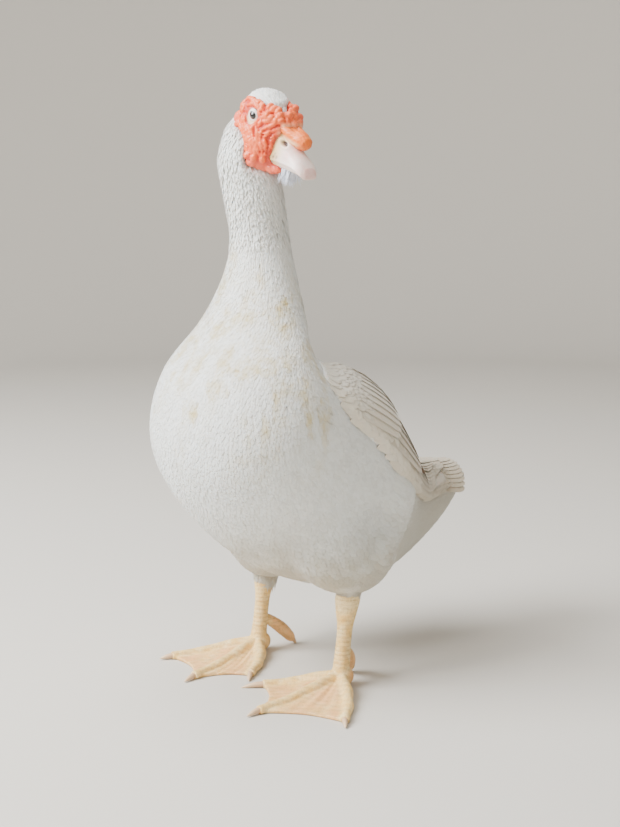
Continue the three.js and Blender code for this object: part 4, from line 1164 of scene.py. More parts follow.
@dataclass(frozen=True)
class CoatZone:
    """How feathers lie over a stretch of a surface."""

    start: float
    end: float
    exposed: tuple[float, float]  # what each row shows, in millimetres, at the start and the end
    width: tuple[float, float]
    layers: float = 3.2  # a feather's length as a multiple of what it shows
    outline: Outline = Outline.CONTOUR
    ruffle: float = 0.25
    root_out: float = -1.4
    tip_out: float = -0.3
    thick: float = 0.14
    samples: ClassVar[int] = 60  # places along the zone where its sizes are worked out
    spacing: ClassVar[float] = 0.62  # from one column of feathers to the next, as a share of their width
    wander: ClassVar[float] = 0.28  # how far a root strays, as a share of its row and column


def coat_rows(surface: Surface, zone: CoatZone, draw: Draw, keep: Callable[..., Array]) -> Vanes | None:
    """Lays staggered rows of feathers over a zone.

    Args:
        surface: What they lie on.
        zone: Their sizes, from the start of the zone to its end along u.
        draw: The source of small differences.
        keep: Says which roots stay, from u, v and their points.

    Returns:
        The feathers, or nothing if none stay.
    """
    places = np.linspace(zone.start, zone.end, zone.samples)
    share = np.linspace(0, 1, zone.samples)
    exposed = mix(*zone.exposed, share)
    around = surface.scale(*grid(places, np.arange(0, 360, 6.0)))[1].mean(axis=1) * 360
    columns = int(np.max(around / mix(*zone.width, share)) / zone.spacing)
    roots = []
    for column in range(columns):
        v = 360 * column / columns
        rows = surface.count_along(places, np.full(zone.samples, v), exposed)
        at = np.arange(0.5 * (column % 2), rows[-1], 1.0)
        at = at + draw.uniform(-zone.wander, zone.wander, len(at))
        across = v + draw.uniform(-zone.wander, zone.wander, len(at)) * 360 / columns
        roots.append(np.stack([np.interp(at, rows, places), across, np.interp(at, rows, exposed)]))
    u, v, shown = np.concatenate(roots, axis=1)
    good = keep(u, v, surface.point(u, v, 0.0))
    if not good.any():
        return None
    u, v, shown = u[good], v[good], shown[good]
    width = 360 / columns / zone.spacing * surface.scale(u, v)[1]
    width = np.clip(width, 0.5 * min(zone.width), 1.5 * max(zone.width))
    count = len(u)
    return Vanes(
        surface,
        u,
        v,
        shown * zone.layers * draw.uniform(0.85, 1.2, count),
        width * draw.uniform(0.85, 1.15, count),
        zone.outline,
        skew=draw.normal(0, 0.08 + 0.14 * zone.ruffle, count),
        root_out=zone.root_out,
        tip_out=zone.tip_out + draw.uniform(-0.5, 1.0, count) * zone.ruffle,
        curl=0.1,
        thick=zone.thick,
    )


@dataclass
class Plumes:
    """The coat of small feathers over the body, neck, head and thighs, and the skin under it."""

    bench: Bench
    body: BodySurface
    wing: WingSurface
    face: "Face"
    legs: Sequence["Leg"]
    skin_voxel: float = 3.4
    seed: int = 3
    zones: tuple[CoatZone, ...] = (
        CoatZone(-0.2, 2.6, (5.4, 5.0), (9, 8), 3.2, ruffle=0.3),
        CoatZone(2.6, 4.8, (4.8, 4.2), (7.4, 6.4), 3.3, ruffle=0.25),
        CoatZone(4.8, 6.3, (4.1, 3.8), (6.2, 5.6), 3.4, ruffle=0.18),
        CoatZone(6.3, 7.6, (3.8, 3.5), (5.6, 5.2), 3.4, ruffle=0.16),
        CoatZone(7.6, 9.25, (3.5, 3.1), (5.2, 4.4), 3.4, ruffle=0.16),
        CoatZone(9.25, 12.0, (3.1, 2.6), (4.4, 3.4), 3.6, ruffle=0.3),
        CoatZone(12.0, 15.7, (2.6, 2.3), (3.2, 2.8), 3.8, Outline.TUFT, 1.0, root_out=-2.0, tip_out=0.3),
    )
    head_zones: tuple[CoatZone, ...] = (
        CoatZone(12, 70, (1.6, 2.0), (2.0, 2.4), 3.6, Outline.TUFT, ruffle=0.3, tip_out=0.4),
        CoatZone(70, 168, (2.0, 2.5), (2.4, 3.2), 4.0, Outline.TUFT, ruffle=0.6, tip_out=0.7),
    )
    thigh_zone: CoatZone = CoatZone(-0.1, 3.0, (2.2, 3.6), (3.0, 5.6), 4.0, Outline.TUFT, ruffle=0.5)
    # place on the body, first and last angle, and lift of each row of the flank's longer feathers
    flank_rows: tuple[tuple[float, float, float, float], ...] = (
        (4.82, 74, 116, 1.8),
        (4.95, 73, 118, 1.7),
        (5.08, 72, 120, 1.4),
        (5.2, 72, 120, 1.1),
        (5.34, 71, 120, 0.8),
        (5.5, 71, 118, 0.4),
    )

    def build(self) -> None:
        """Makes the skin and every piece of the coat."""
        self.marks = PlumageMarks()
        self.crowned = CrownedHead()
        self.skin()
        self.lay("coat_body", self.body, self.zones, self.seed, self.keep_body)
        self.lay("coat_head", self.crowned, self.head_zones, self.seed + 1, self.keep_head)
        draw = np.random.default_rng(self.seed + 2)
        for leg in self.legs:
            vanes = coat_rows(leg.thigh, self.thigh_zone, draw, lambda u, v, points: u > -math.inf)
            self.bench.add(f"coat_thigh_{leg.name}", vanes.sheet(self.marks), PLUMAGE, "body_feather")
        self.flank_rim()

    def skin(self) -> None:
        """Makes the one skin under the coat, fused from body, head and thighs."""
        # surface, first and last place with the number of rings, degrees between points, depth and its growth
        forms = [(self.body, (0.2, 16, 110), 5.0, -COAT_DEPTH, 0.0)]
        forms += [(self.crowned, (1, 179, 60), 6.0, -2.0, 0.0)]
        forms += [(leg.thigh, (0, 3, 24), 8.0, -1.6, -2.0) for leg in self.legs]
        parts = []
        for surface, places, turn, out, growth in forms:
            u, v = grid(np.linspace(*places), np.arange(0, 360, turn))
            parts.append(skin_of_rings(surface.point(u, v, out + growth * u)))
        obj = self.bench.fused("skin", parts, PLUMAGE, self.skin_voxel, 3)
        self.bench.mark(obj, self.marks(self.bench.points_of(obj)) * [1, 1, 0.6] + [0, 0.1, 0.2])
        nodes = ("torso", "neck_lower", "neck_upper", "head", "thigh_left", "thigh_right")
        self.bench.declare(obj, "body_feather", *nodes)

    def lay(self, name: str, surface: Surface, zones: Sequence[CoatZone], seed: int, keep: Any) -> None:
        """Lays feathers over a surface, with one piece for each zone."""
        draw = np.random.default_rng(seed)
        for number, zone in enumerate(zones):
            vanes = coat_rows(surface, zone, draw, keep)
            if vanes:
                nodes = ["crest"] if (name, number) == ("coat_head", 0) else []
                self.bench.add(f"{name}_{number}", vanes.sheet(self.marks), PLUMAGE, "body_feather", *nodes)

    def keep_body(self, u: Array, v: Array, points: Array) -> Array:
        """Whether roots on the body are in the open, and not well under a folded wing."""
        spots = self.crowned.to_head(points)
        far = self.crowned.distance(spots)
        bare = (self.face.depth_inside(spots) > 2.5) & (far < 12) & (u > 12.5)
        angle = np.abs((v + 180) % 360 - 180)
        along = (u - self.wing.front_place) / (self.wing.rear_place - self.wing.front_place)
        upper, lower, _ = self.wing.edge(along)
        under = (along > 0.1) & (along < 0.8) & (angle > upper + 9) & (angle < lower - 9)
        return (far > -1.5) & ~bare & ~under

    def keep_head(self, u: Array, v: Array, points: Array) -> Array:
        """Whether roots on the head are outside the bare face and above the neck."""
        spots = self.crowned.to_head(points)
        return (self.face.depth_inside(spots) < 0.3) & (spots[:, 2] > -52)

    def flank_rim(self) -> None:
        """Lays the longer flank feathers, which stand free behind and cover the wing's lower edge."""
        draw = np.random.default_rng(self.seed + 3)
        batches = []
        for side in (1, -1):
            for place, low, high, lift in self.flank_rows:
                v = np.arange(low, high, 1.9)
                count = len(v)
                v = v + draw.uniform(-0.6, 0.6, count)
                vanes = Vanes(
                    self.body,
                    place + draw.uniform(-0.05, 0.05, count),
                    side * v,
                    draw.uniform(19, 25, count),
                    draw.uniform(6, 8, count),
                    skew=draw.normal(0, 0.07, count) - side * 0.05,
                    root_out=-1.2,
                    tip_out=lift,
                    curl=0.2,
                    thick=0.3,
                )
                batches.append(vanes.sheet(self.marks))
        self.bench.add("coat_flank", Sheet.joined(batches), PLUMAGE, "body_feather")


# Wings and tail


@dataclass(frozen=True)
class FlightTier:
    """One tier of a wing's feathers."""

    count: int
    span: tuple[float, float]
    angles: tuple[float, float]
    converge: float
    width: float
    lift: float


@dataclass
class Wings:
    """Both folded wings: the padded arm, the tiers of flight feathers and coverts, and the small coverts."""

    bench: Bench
    wing: WingSurface
    tiers: tuple[FlightTier, ...] = (
        FlightTier(6, (0.50, 1.0), (32, 58), 20, 22, 0.6),
        FlightTier(8, (0.34, 0.87), (28, 62), 7, 22, 1.3),
        FlightTier(4, (0.28, 0.93), (16, 30), 2, 26, 2.2),
        FlightTier(9, (0.21, 0.57), (23, 62), 4, 20, 2.1),
        FlightTier(10, (0.12, 0.38), (23, 62), 2, 18, 2.8),
    )
    small: CoatZone = CoatZone(0.01, 0.9, (4.6, 6.4), (8, 10), 3.0, ruffle=0.2, root_out=-1.0, tip_out=1.4)

    def build(self) -> None:
        """Makes the left wing and its mirror image."""
        arm, feathers = self.arm(), self.feathers()
        pairs = {"left": (arm, feathers), "right": (arm.mirrored(), feathers.mirrored())}
        for name, (base, plumes) in pairs.items():
            self.bench.add(f"wing_arm_{name}", base, PLUMAGE, "body_feather", f"wing_{name}")
            self.bench.add(f"wing_feathers_{name}", plumes, FLIGHT, "flight_feather")

    def arm(self) -> Sheet:
        """The wing's padded form under its feathers, sunk into the body all round."""
        around = 22
        rings = []
        for place in np.linspace(0.0, 0.93, 44):
            u = np.full(around, place)
            upper, lower, _ = self.wing.edge(u[0])
            v = np.linspace(upper, lower, around)
            under = self.wing.over_body(u, v[::-1], self.wing.lift(u) - 3.0)
            rings.append(np.concatenate([self.wing.point(u, v, -0.5), under]))
        sheet = skin_of_rings(np.array(rings))
        sheet.marks = np.clip(PlumageMarks(5)(sheet.points), 0, 1)
        return sheet

    def feathers(self) -> Sheet:
        """Every feather of the left wing in one sheet."""
        draw = np.random.default_rng(20)
        marks = PlumageMarks(6)
        batches = [self.tier(tier, draw).sheet(marks) for tier in self.tiers]
        batches.append(coat_rows(self.wing, self.small, draw, self.keep_small).sheet(marks))
        return Sheet.joined(batches)

    def tier(self, tier: FlightTier, draw: Draw) -> Vanes:
        """One tier, whose feathers overlap towards the back and draw together at their tips."""
        share = np.linspace(0, 1, tier.count)
        u = tier.span[0] + 0.02 * share
        v = mix(*tier.angles, share)
        reach = tier.span[1] - 0.05 * share + draw.uniform(-0.006, 0.006, tier.count)
        return Vanes(
            self.wing,
            u,
            v,
            (reach - u) * self.wing.scale(u, v)[0],
            tier.width,
            Outline.FLIGHT,
            root_out=-1.2,
            tip_out=tier.lift,
            curl=0.0,
            tilt=-0.16,
            edge_tint=0.9,
            thick=0.5,
            drift=-tier.converge * (share + 0.4),
        )

    def keep_small(self, u: Array, v: Array, points: Array) -> Array:
        """Whether roots of the small coverts are on the wing and outside its long feathers."""
        upper, lower, _ = self.wing.edge(u)
        inner = (u > 0.22) & (v > upper + 13) & (v < lower - 8)
        return (v > upper - 1) & (v < lower + 1) & ~inner


@dataclass
class Tail:
    """The tail's fan of broad feathers, with coverts over and under its root."""

    bench: Bench
    pairs: int = 9
    width: float = 19.0
    # root, length, lift and count of each row of coverts
    coverts: tuple[tuple[float, float, float, int], ...] = (
        (-4.0, 46.0, 1.6, 13),
        (-10.0, 36.0, 2.2, 11),
        (-16.0, 32.0, 2.8, 10),
    )

    def row(self, start: float, v: Array, length: Array, width: float, **values: Any) -> Sheet:
        """One row of feathers across the fan."""
        roots = np.full(len(v), start)
        return Vanes(self.fan, roots, v, length, width, Outline.FLIGHT, **values).sheet(self.marks)

    def build(self) -> None:
        self.fan, self.marks = TailSurface(), PlumageMarks(8)
        share = np.linspace(-1, 1, 2 * self.pairs)
        out = -2.2 * np.abs(share) - 0.6
        look = {"root_out": out, "tip_out": out, "curl": 0.6, "tilt": -0.1 * np.sign(share)}
        length = self.fan.length + 6 - 14 * share**2
        batches = [self.row(-6.0, share, length, self.width, edge_tint=0.9, thick=0.5, **look)]
        draw = np.random.default_rng(31)
        for start, reach, lift, count in self.coverts:
            v = np.linspace(-0.95, 0.95, count) + draw.uniform(-0.04, 0.04, count)
            for sign, root_drop, tip_drop in ((1.0, 0.0, 0.0), (-1.0, 4.0, 3.4)):
                length = reach * draw.uniform(0.9, 1.1, count) * (1 - 0.25 * v * v)
                look = {"root_out": sign * (lift + 3.0) - root_drop, "tip_out": sign * lift * 0.8 - tip_drop}
                look |= {"tilt": -0.08 * sign * np.sign(v), "thick": 0.4 * sign}
                batches.append(self.row(start, v, length, 15.0, curl=0.0, edge_tint=0.7, **look))
        self.bench.add("tail_feathers", Sheet.joined(batches), FLIGHT, "flight_feather", "tail")


# Face


@dataclass
class Face:
    """The bare mask: a plate of skin with folds, bulbs and lobes, the knob, and the eyelids' pale ring."""

    bench: Bench
    head: HeadSurface
    plate: float = 1.7
    voxel: float = 0.62
    # half width, sway and path (as ahead and up) of each fold
    fold_paths: tuple[tuple[float, float, tuple[tuple[float, float], ...]], ...] = (
        # the rim behind the eye, which runs down into the first hanging fold
        (2.6, 0.4, ((-14, 9), (-16.6, 4), (-17, -4), (-14.5, -11.5), (-6, -16.5), (2, -20.5), (6, -29))),
        (2.4, 0.6, ((-12.8, 3), (-12.6, -5), (-9, -10.5), (-1, -15), (5.5, -21), (10, -31), (11, -35))),
        # the hanging folds, from the eye to the bill
        (2.3, 0.7, ((-8.5, -4), (-5.5, -9), (2, -14), (8.5, -22), (13.5, -33))),
        (2.3, 0.8, ((-1.5, -10), (5.5, -15), (11.5, -22), (16.5, -32.5))),
        (2.4, 0.8, ((4.5, -8.5), (10, -16), (14.5, -23), (19, -31.5))),
        (2.2, 0.7, ((8.5, -5.5), (12.2, -12), (16, -19.5), (20.5, -28.5))),
        # the folds that sweep from the knob's side down to the jowl
        (2.1, 0.4, ((25.5, 3.6), (20, -0.8), (15.6, -7.5), (17, -15), (21, -23), (22.5, -28))),
        (2.0, 0.4, ((26, -1.2), (21.2, -6), (19.6, -12), (22.2, -19), (24.6, -26))),
        (1.8, 0.3, ((26.4, -4.6), (24.2, -9.5), (24.8, -15.5), (25.8, -21.5))),
        # the brow over the eye, and the soft skin round it
        (2.9, 0.4, ((-13.5, 8.2), (-8, 9.8), (-2, 10.2), (3, 9.4), (6.5, 6.4))),
        (2.2, 0.3, ((-10, 4.6), (-5.5, 7.2), (0, 7.6), (4.6, 5.6), (7.6, 1.2))),
        (2.2, 0.4, ((9.6, 6), (11, 0.5), (10.4, -5))),
        (1.9, 0.3, ((7.8, 1), (7.6, -4.5), (4.8, -8.5), (-0.5, -9.5))),
        # the brow's lower edge
        (2.0, 0.3, ((11.5, -2.2), (15, 0.2), (19.5, 2.4), (24, 5.6))),
    )
    # each brow bulb's place (ahead, up), half width, length share and heading
    brow_bulbs: tuple[tuple[float, float, float, float, float], ...] = (
        (9.6, 10.2, 3.0, 1.4, 70), (13.4, 10.6, 3.0, 1.5, 95), (12.6, 5.4, 2.9, 1.5, 80),
        (16.6, 9.6, 3.0, 1.5, 105), (16.4, 4.2, 2.8, 1.4, 60), (19.8, 7.6, 3.0, 1.5, 100),
        (20.4, 3.6, 2.8, 1.3, 120), (23.0, 8.4, 3.0, 1.3, 80), (23.6, 4.6, 3.0, 1.3, 60),
    )
    # place (ahead, up), half sizes and heading of the bulbs behind the eye, of those that only the left
    # brow has, and of the lobes under the jowl
    rear_bulbs: tuple[tuple[Any, ...], ...] = (
        (-20.3, -11.4, (6.4, 4.6, 4.6), 84),
        (-15.5, -15.5, (4.2, 3.4, 3.4), 40),
    )
    left_bulbs: tuple[tuple[Any, ...], ...] = (
        (13.0, 8.5, (5.0, 4.4, 6.6), 40),
        (18.5, 3.5, (5.0, 4.6, 7.0), 60),
        (21.0, -2.5, (4.4, 4.0, 5.6), 60),
    )
    lobes: tuple[tuple[Any, ...], ...] = (
        (14, -37.4, (6.0, 4.2, 4.0), 20),
        (20.5, -38.6, (6.0, 4.2, 4.4), 0),
        (27.5, -37.0, (6.6, 4.4, 5.2), -6),
        (33.0, -35.4, (4.8, 3.2, 4.2), 0),
        (9.5, -33, (3.6, 3.4, 3.0), 60),
        (16.5, -32.5, (3.8, 3.4, 3.0), 80),
        (22.5, -31, (3.6, 3.2, 3.0), 80),
    )
    # place (side, ahead, up) and half sizes of the larger bulbs that the knob comes out from under
    knob_bulbs: tuple[tuple[tuple[float, float, float], tuple[float, float, float]], ...] = (
        ((-3.5, 26.0, 1.2), (4.6, 4.2, 3.6)),
        ((3.5, 27.5, 2.2), (5.0, 4.4, 4.0)),
        ((10.0, 25.5, 1.5), (5.0, 4.6, 4.6)),
        ((0.0, 23.0, 5.0), (4.6, 4.0, 3.8)),
        ((7.5, 22.0, 5.6), (4.6, 4.2, 4.0)),
        ((14.0, 21.0, 1.0), (4.6, 4.6, 5.0)),
    )
    # the mask's edge seen from the side, as ahead and up
    edge: tuple[tuple[float, float], ...] = (
        (-17, 8), (-14, 10.6), (-4, 12.2), (2, 12.6), (4, 30), (34, 30), (34, 3), (28, -1), (26.5, -6),
        (25.8, -12), (26.6, -20), (25.6, -26), (28, -31), (37, -33), (35, -38), (26, -41), (20, -42.5),
        (15, -42.5), (11, -40), (8, -35), (5, -29.5), (2, -25), (-3, -21), (-9, -19.5), (-15, -18),
        (-18.5, -12), (-19, -6), (-18.6, 2),
    )
    cap_front: float = 19.5  # how far ahead the crown's feathers come in the middle
    cap_curve: float = 0.11

    def depth_inside(self, spots: Array) -> Array:
        """How far spots are inside the mask's edge, in millimetres, negative outside."""
        start = np.array(self.edge)
        end = np.roll(start, -1, axis=0)
        way = end - start
        place = spots[..., None, 1:3]
        share = np.clip(np.sum((place - start) * way, -1) / np.sum(way * way, -1), 0, 1)
        far = np.min(np.linalg.norm(place - start - way * share[..., None], axis=-1), -1)
        up = place[..., 1]
        rising = (start[:, 1] <= up) != (end[:, 1] <= up)
        cross = start[:, 0] + (up - start[:, 1]) / np.where(way[:, 1] == 0, TINY, way[:, 1]) * way[:, 0]
        inside = np.sum(rising & (place[..., 0] < cross), -1) % 2 == 1
        depth = np.where(inside, far, -far)
        cap = spots[..., 1] - (self.cap_front - self.cap_curve * spots[..., 0] ** 2)
        return np.where(spots[..., 2] > 7, np.minimum(depth, cap), depth)

    def build(self) -> None:
        """Makes the mask and the knob."""
        parts = [self.base()]
        for side in (-1, 1):
            parts += self.folds(side) + self.bulbs(side)
        parts += self.forehead()
        obj = self.bench.fused("caruncles", parts, CARUNCLE, self.voxel, 2)
        self.roughen(obj, 0.32)
        self.colour(obj)
        self.bench.declare(obj, "caruncle_skin", "caruncles_left", "caruncles_right", "caruncles_forehead")
        self.knob()

    def base(self) -> Sheet:
        """The plate of skin, which dips under the feathers outside the mask."""
        u, v = grid(np.linspace(0.5, 179.5, 130), np.arange(0, 360, 2.4))
        surface = self.head.spot(u, v, 0.0)
        inside = step(self.depth_inside(surface), -0.4, 1.4)
        return skin_of_rings(self.head.point(u, v, mix(-4.0, self.plate + self.head.jowl(surface), inside)))

    def fold(self, side: int, radius: float, sway: float, path: Any, draw: Draw) -> Sheet:
        """One soft fold along a path on a side of the face.

        Args:
            side: 1 on the left and -1 on the right.
            radius: Its half width.
            sway: How far it wanders to each side.
            path: Its points, as ahead and up.
            draw: The source of small differences.

        Returns:
            The fold as a closed tube.
        """
        corners = np.array(path, float)
        steps = max(int(np.sum(np.linalg.norm(np.diff(corners, axis=0), axis=1)) / 1.1), 4)
        t = np.linspace(0, len(corners) - 1, steps)
        line = on_stations(corners, t)
        way = unit(np.gradient(line, axis=0))
        wave = sway * np.sin(t * 2.6 + draw.uniform(0, 6.28)) + 0.3 * draw.normal(size=steps)
        line = line + np.stack([-way[:, 1], way[:, 0]], -1) * wave[:, None]
        ends = np.sin(np.linspace(0.5, math.pi - 0.5, steps)) ** 0.5
        swell = 1 + 0.16 * np.sin(t * 5.2 + draw.uniform(0, 6.28)) + 0.07 * draw.normal(size=steps)
        spots = self.head.cheek(line[:, 0], line[:, 1], side, self.plate)
        return tube(self.head.to_bird(spots), radius * ends * swell, 12)

    def folds(self, side: int) -> list[Sheet]:
        """The long folds that hang from the eye to the jowl, the rims and the ridge to the bill."""
        draw = np.random.default_rng(40 + side)
        return [self.fold(side, *fold, draw) for fold in self.fold_paths]

    def ball(self, spot: Array, radii: Sequence[float], axes: Array = np.eye(3)) -> Sheet:
        """A bulb at a place of the head, from its half sizes and directions there."""
        shape = egg((0, 0, 0), radii, axes)
        return Sheet(self.head.to_bird(shape.points + spot), shape.quads, shape.tris)

    def bulb(self, side: int, ahead: float, up: float, radii: Sequence[float], heading: float) -> Sheet:
        """One rounded bulb on a side of the face.

        Args:
            side: 1 on the left and -1 on the right.
            ahead: Its place along the head.
            up: Its height.
            radii: Half sizes along its heading, across it and outward.
            heading: Degrees from straight ahead towards the crown.

        Returns:
            The bulb.
        """
        places = np.array([(ahead, up), (ahead + 0.5, up), (ahead, up + 0.5)])
        spot, near, over = self.head.cheek(places[:, 0], places[:, 1], side, self.plate)
        along, rise = near - spot, over - spot
        normal = unit(np.cross(along, rise))
        normal = normal if normal[0] * side > 0 else -normal
        turn = math.radians(heading)
        long = unit(unit(along) * math.cos(turn) + unit(rise) * math.sin(turn))
        return self.ball(spot, radii, np.array([long, unit(np.cross(normal, long)), normal]))

    def bulbs(self, side: int) -> list[Sheet]:
        """The brow's convoluted bulbs, the one behind the eye, and the lobes under the jowl."""
        draw = np.random.default_rng(60 + side)
        brow = []
        for ahead, up, size, share, heading in self.brow_bulbs:
            stray = 0.4 * draw.normal(size=2)
            radii = (size * share, size, size * 1.15)
            brow.append((ahead + stray[0], up + stray[1], radii, heading + 12 * draw.normal()))
        own = self.left_bulbs if side > 0 else ()
        return [self.bulb(side, *bulb) for bulb in (*self.rear_bulbs, *brow, *own, *self.lobes)]

    def forehead(self) -> list[Sheet]:
        """The bulbs across the forehead between the two brows, and the larger ones at the knob."""
        draw = np.random.default_rng(70)
        made = []
        for ahead in (15.5, 19.5, 23.0):
            for side in (-6.4, -2.2, 2.2, 6.4, 10.2):
                start = np.array([side + 0.5 * draw.normal(), ahead + 0.6 * draw.normal(), -10.0])
                spot = self.head.exit(start, np.array([0.0, 0.3, 1.0]) / 1.044, self.plate - 0.6)
                size = draw.uniform(2.6, 3.1)
                made.append(self.ball(spot, (size * 0.95, size * 1.35, size * 1.15)))
        return made + [self.ball(spot, radii) for spot, radii in self.knob_bulbs]

    def roughen(self, obj: Piece, depth: float) -> None:
        """Adds the fine warty relief of the skin to a piece's own shape."""
        points = self.bench.points_of(obj)
        flat = np.empty(len(points) * 3, np.float32)
        obj.data.vertices.foreach_get("normal", flat)
        grain = mottle(points, 3.4, 9) + 0.6 * mottle(points, 1.9, 10) - 0.8
        self.bench.move_points(obj, points + flat.reshape(-1, 3) * (grain * depth)[:, None])

    def colour(self, obj: Piece) -> None:
        """Marks how far each point stands out, which paints shade into the creases and a highlight onto the
        crests, where it is pinker, and the pale ring round the eye.
        """
        spots = self.head.to_head(self.bench.points_of(obj))
        side, ahead, up = spots.T
        # the first mark follows depth: the creases get painted shade and the raised crests a painted
        # highlight
        rise = step(self.head.distance(spots) - self.head.jowl(spots), self.plate + 0.1, 1.9)
        far_brow = step(side, 8, 8) * step(up, -4, 8)
        behind = step(ahead, -13, -6) * step(up, -4, -6)
        ring = 0.9 * (1 - step(np.hypot((ahead - 0.6) / 5.6, (up + 1.3) / 6.8), 0.8, 0.35))
        base = step(ahead, 25, 4) * step(up, 6, -5) * step(up, -29, 4) * step(np.abs(side), 14, -3)
        pinker = step(up, -29, -8) * 0.6 + far_brow * 0.6 + behind * 0.8 + 0.25 * mottle(spots, 12, 21)
        self.bench.mark(obj, np.stack([rise, pinker, ring + 0.6 * base], -1))

    def knob(self) -> None:
        """Makes the orange knob, which swells from the forehead and overhangs the bill."""
        # side, ahead, up and radius along the knob, and side, ahead and up along its two rolls
        knob = (
            (1.5, 25.0, -4.5, 7.4),
            (1.0, 30.5, -5.2, 7.8),
            (0.8, 36.0, -5.4, 7.6),
            (1.6, 41.5, -5.0, 8.4),
            (2.2, 46.0, -5.2, 8.2),
        )
        rolls = (
            (4.0, ((-5.0, 27.0, -1.2), (-4.6, 33.0, -2.4), (-3.4, 38.0, -3.0), (-1.6, 43.5, -2.6))),
            (4.2, ((6.4, 27.0, -1.2), (6.6, 33.0, -2.0), (6.2, 38.0, -2.6), (5.4, 43.5, -2.6))),
        )
        line = on_stations(knob, np.linspace(0, 4, 26))
        parts = [tube(self.head.to_bird(line[:, :3]), line[:, 3] * self.head.size, 24, 0.86)]
        for size, roll in rolls:
            parts.append(tube(self.head.to_bird(on_stations(roll, np.linspace(0, 3, 14))), size, 14))
        obj = self.bench.fused("bill_knob_skin", parts, KNOB, self.voxel, 4)
        self.roughen(obj, 0.3)
        points = self.bench.points_of(obj)
        side, _, up = self.head.to_head(points).T
        pale = 0.75 * step(side, -3.5, -3) * step(up, -3.5, -4)
        marks = np.stack([0.3 + 0.5 * mottle(points, 9, 11), 0.1 * mottle(points, 8, 12), pale], -1)
        self.bench.mark(obj, marks)
        self.bench.declare(obj, "knob_skin", "bill_knob")


@dataclass
class Eyes:
    """The eyeballs and the soft lids round them."""

    bench: Bench
    head: HeadSurface
    out: ClassVar[float] = 16.6
    radius: float = 5.6
    turn_in: float = 22.0  # degrees that each eye looks forward
    # half width, half height, reach, thickness and height of each roll of the lids
    rolls: tuple[tuple[float, float, float, float, float], ...] = (
        (4.2, 3.0, 4.2, 0.55, 0.4),
        (4.7, 4.0, 3.7, 0.9, -0.1),
        (5.2, 5.6, 3.0, 1.0, -1.0),
    )

    def build(self) -> None:
        """Makes both eyes and both pairs of lids."""
        for side, name in ((1, "left"), (-1, "right")):
            self.bench.add(f"eyeball_{name}", self.ball(side), EYE, "eye", f"eye_{name}")
            lids = self.bench.fused(f"lids_{name}", self.lids(side), LID, 0.4, 2)
            points = self.bench.points_of(lids)
            self.bench.mark(lids, np.outer(0.4 + 0.5 * mottle(points, 3, 13), [1, 0, 0]))
            self.bench.declare(lids, "lid_skin", f"eyelids_{name}")

    def ball(self, side: int) -> Sheet:
        """One eyeball, whose rings run round its gaze and carry how far out they are."""
        polar, turn = grid(np.linspace(0.001, math.pi - 0.001, 48), circle(48))
        out = np.cos(polar) * (1 + 0.1 * hump(polar / 0.5)) * self.radius
        ahead = np.sin(polar) * np.cos(turn) * self.radius
        up = np.sin(polar) * np.sin(turn) * self.radius
        c, s = math.cos(math.radians(self.turn_in)), math.sin(math.radians(self.turn_in))
        shape = np.stack([side * (out * c - ahead * s), ahead * c + out * s, up], -1)
        sheet = skin_of_rings(self.head.to_bird(shape + [side * self.out, 0.8, 0.3]))
        sheet.marks = np.outer(np.append(polar / 1.9, [0.0, 1.0]), [1, 0, 0])
        return sheet

    def lids(self, side: int) -> list[Sheet]:
        """The upper and lower lid and the soft skin round them, as closed rolls."""
        turn = np.linspace(0, 2 * math.pi, 40)
        made = []
        for wide, high, out, thick, low in self.rolls:
            ahead = 0.8 + wide * np.cos(turn)
            reach = side * (self.out + out - 0.04 * ahead**2)
            line = np.stack([reach, ahead, low + high * np.sin(turn)], -1)
            made.append(tube(self.head.to_bird(line), thick, 10))
        return made


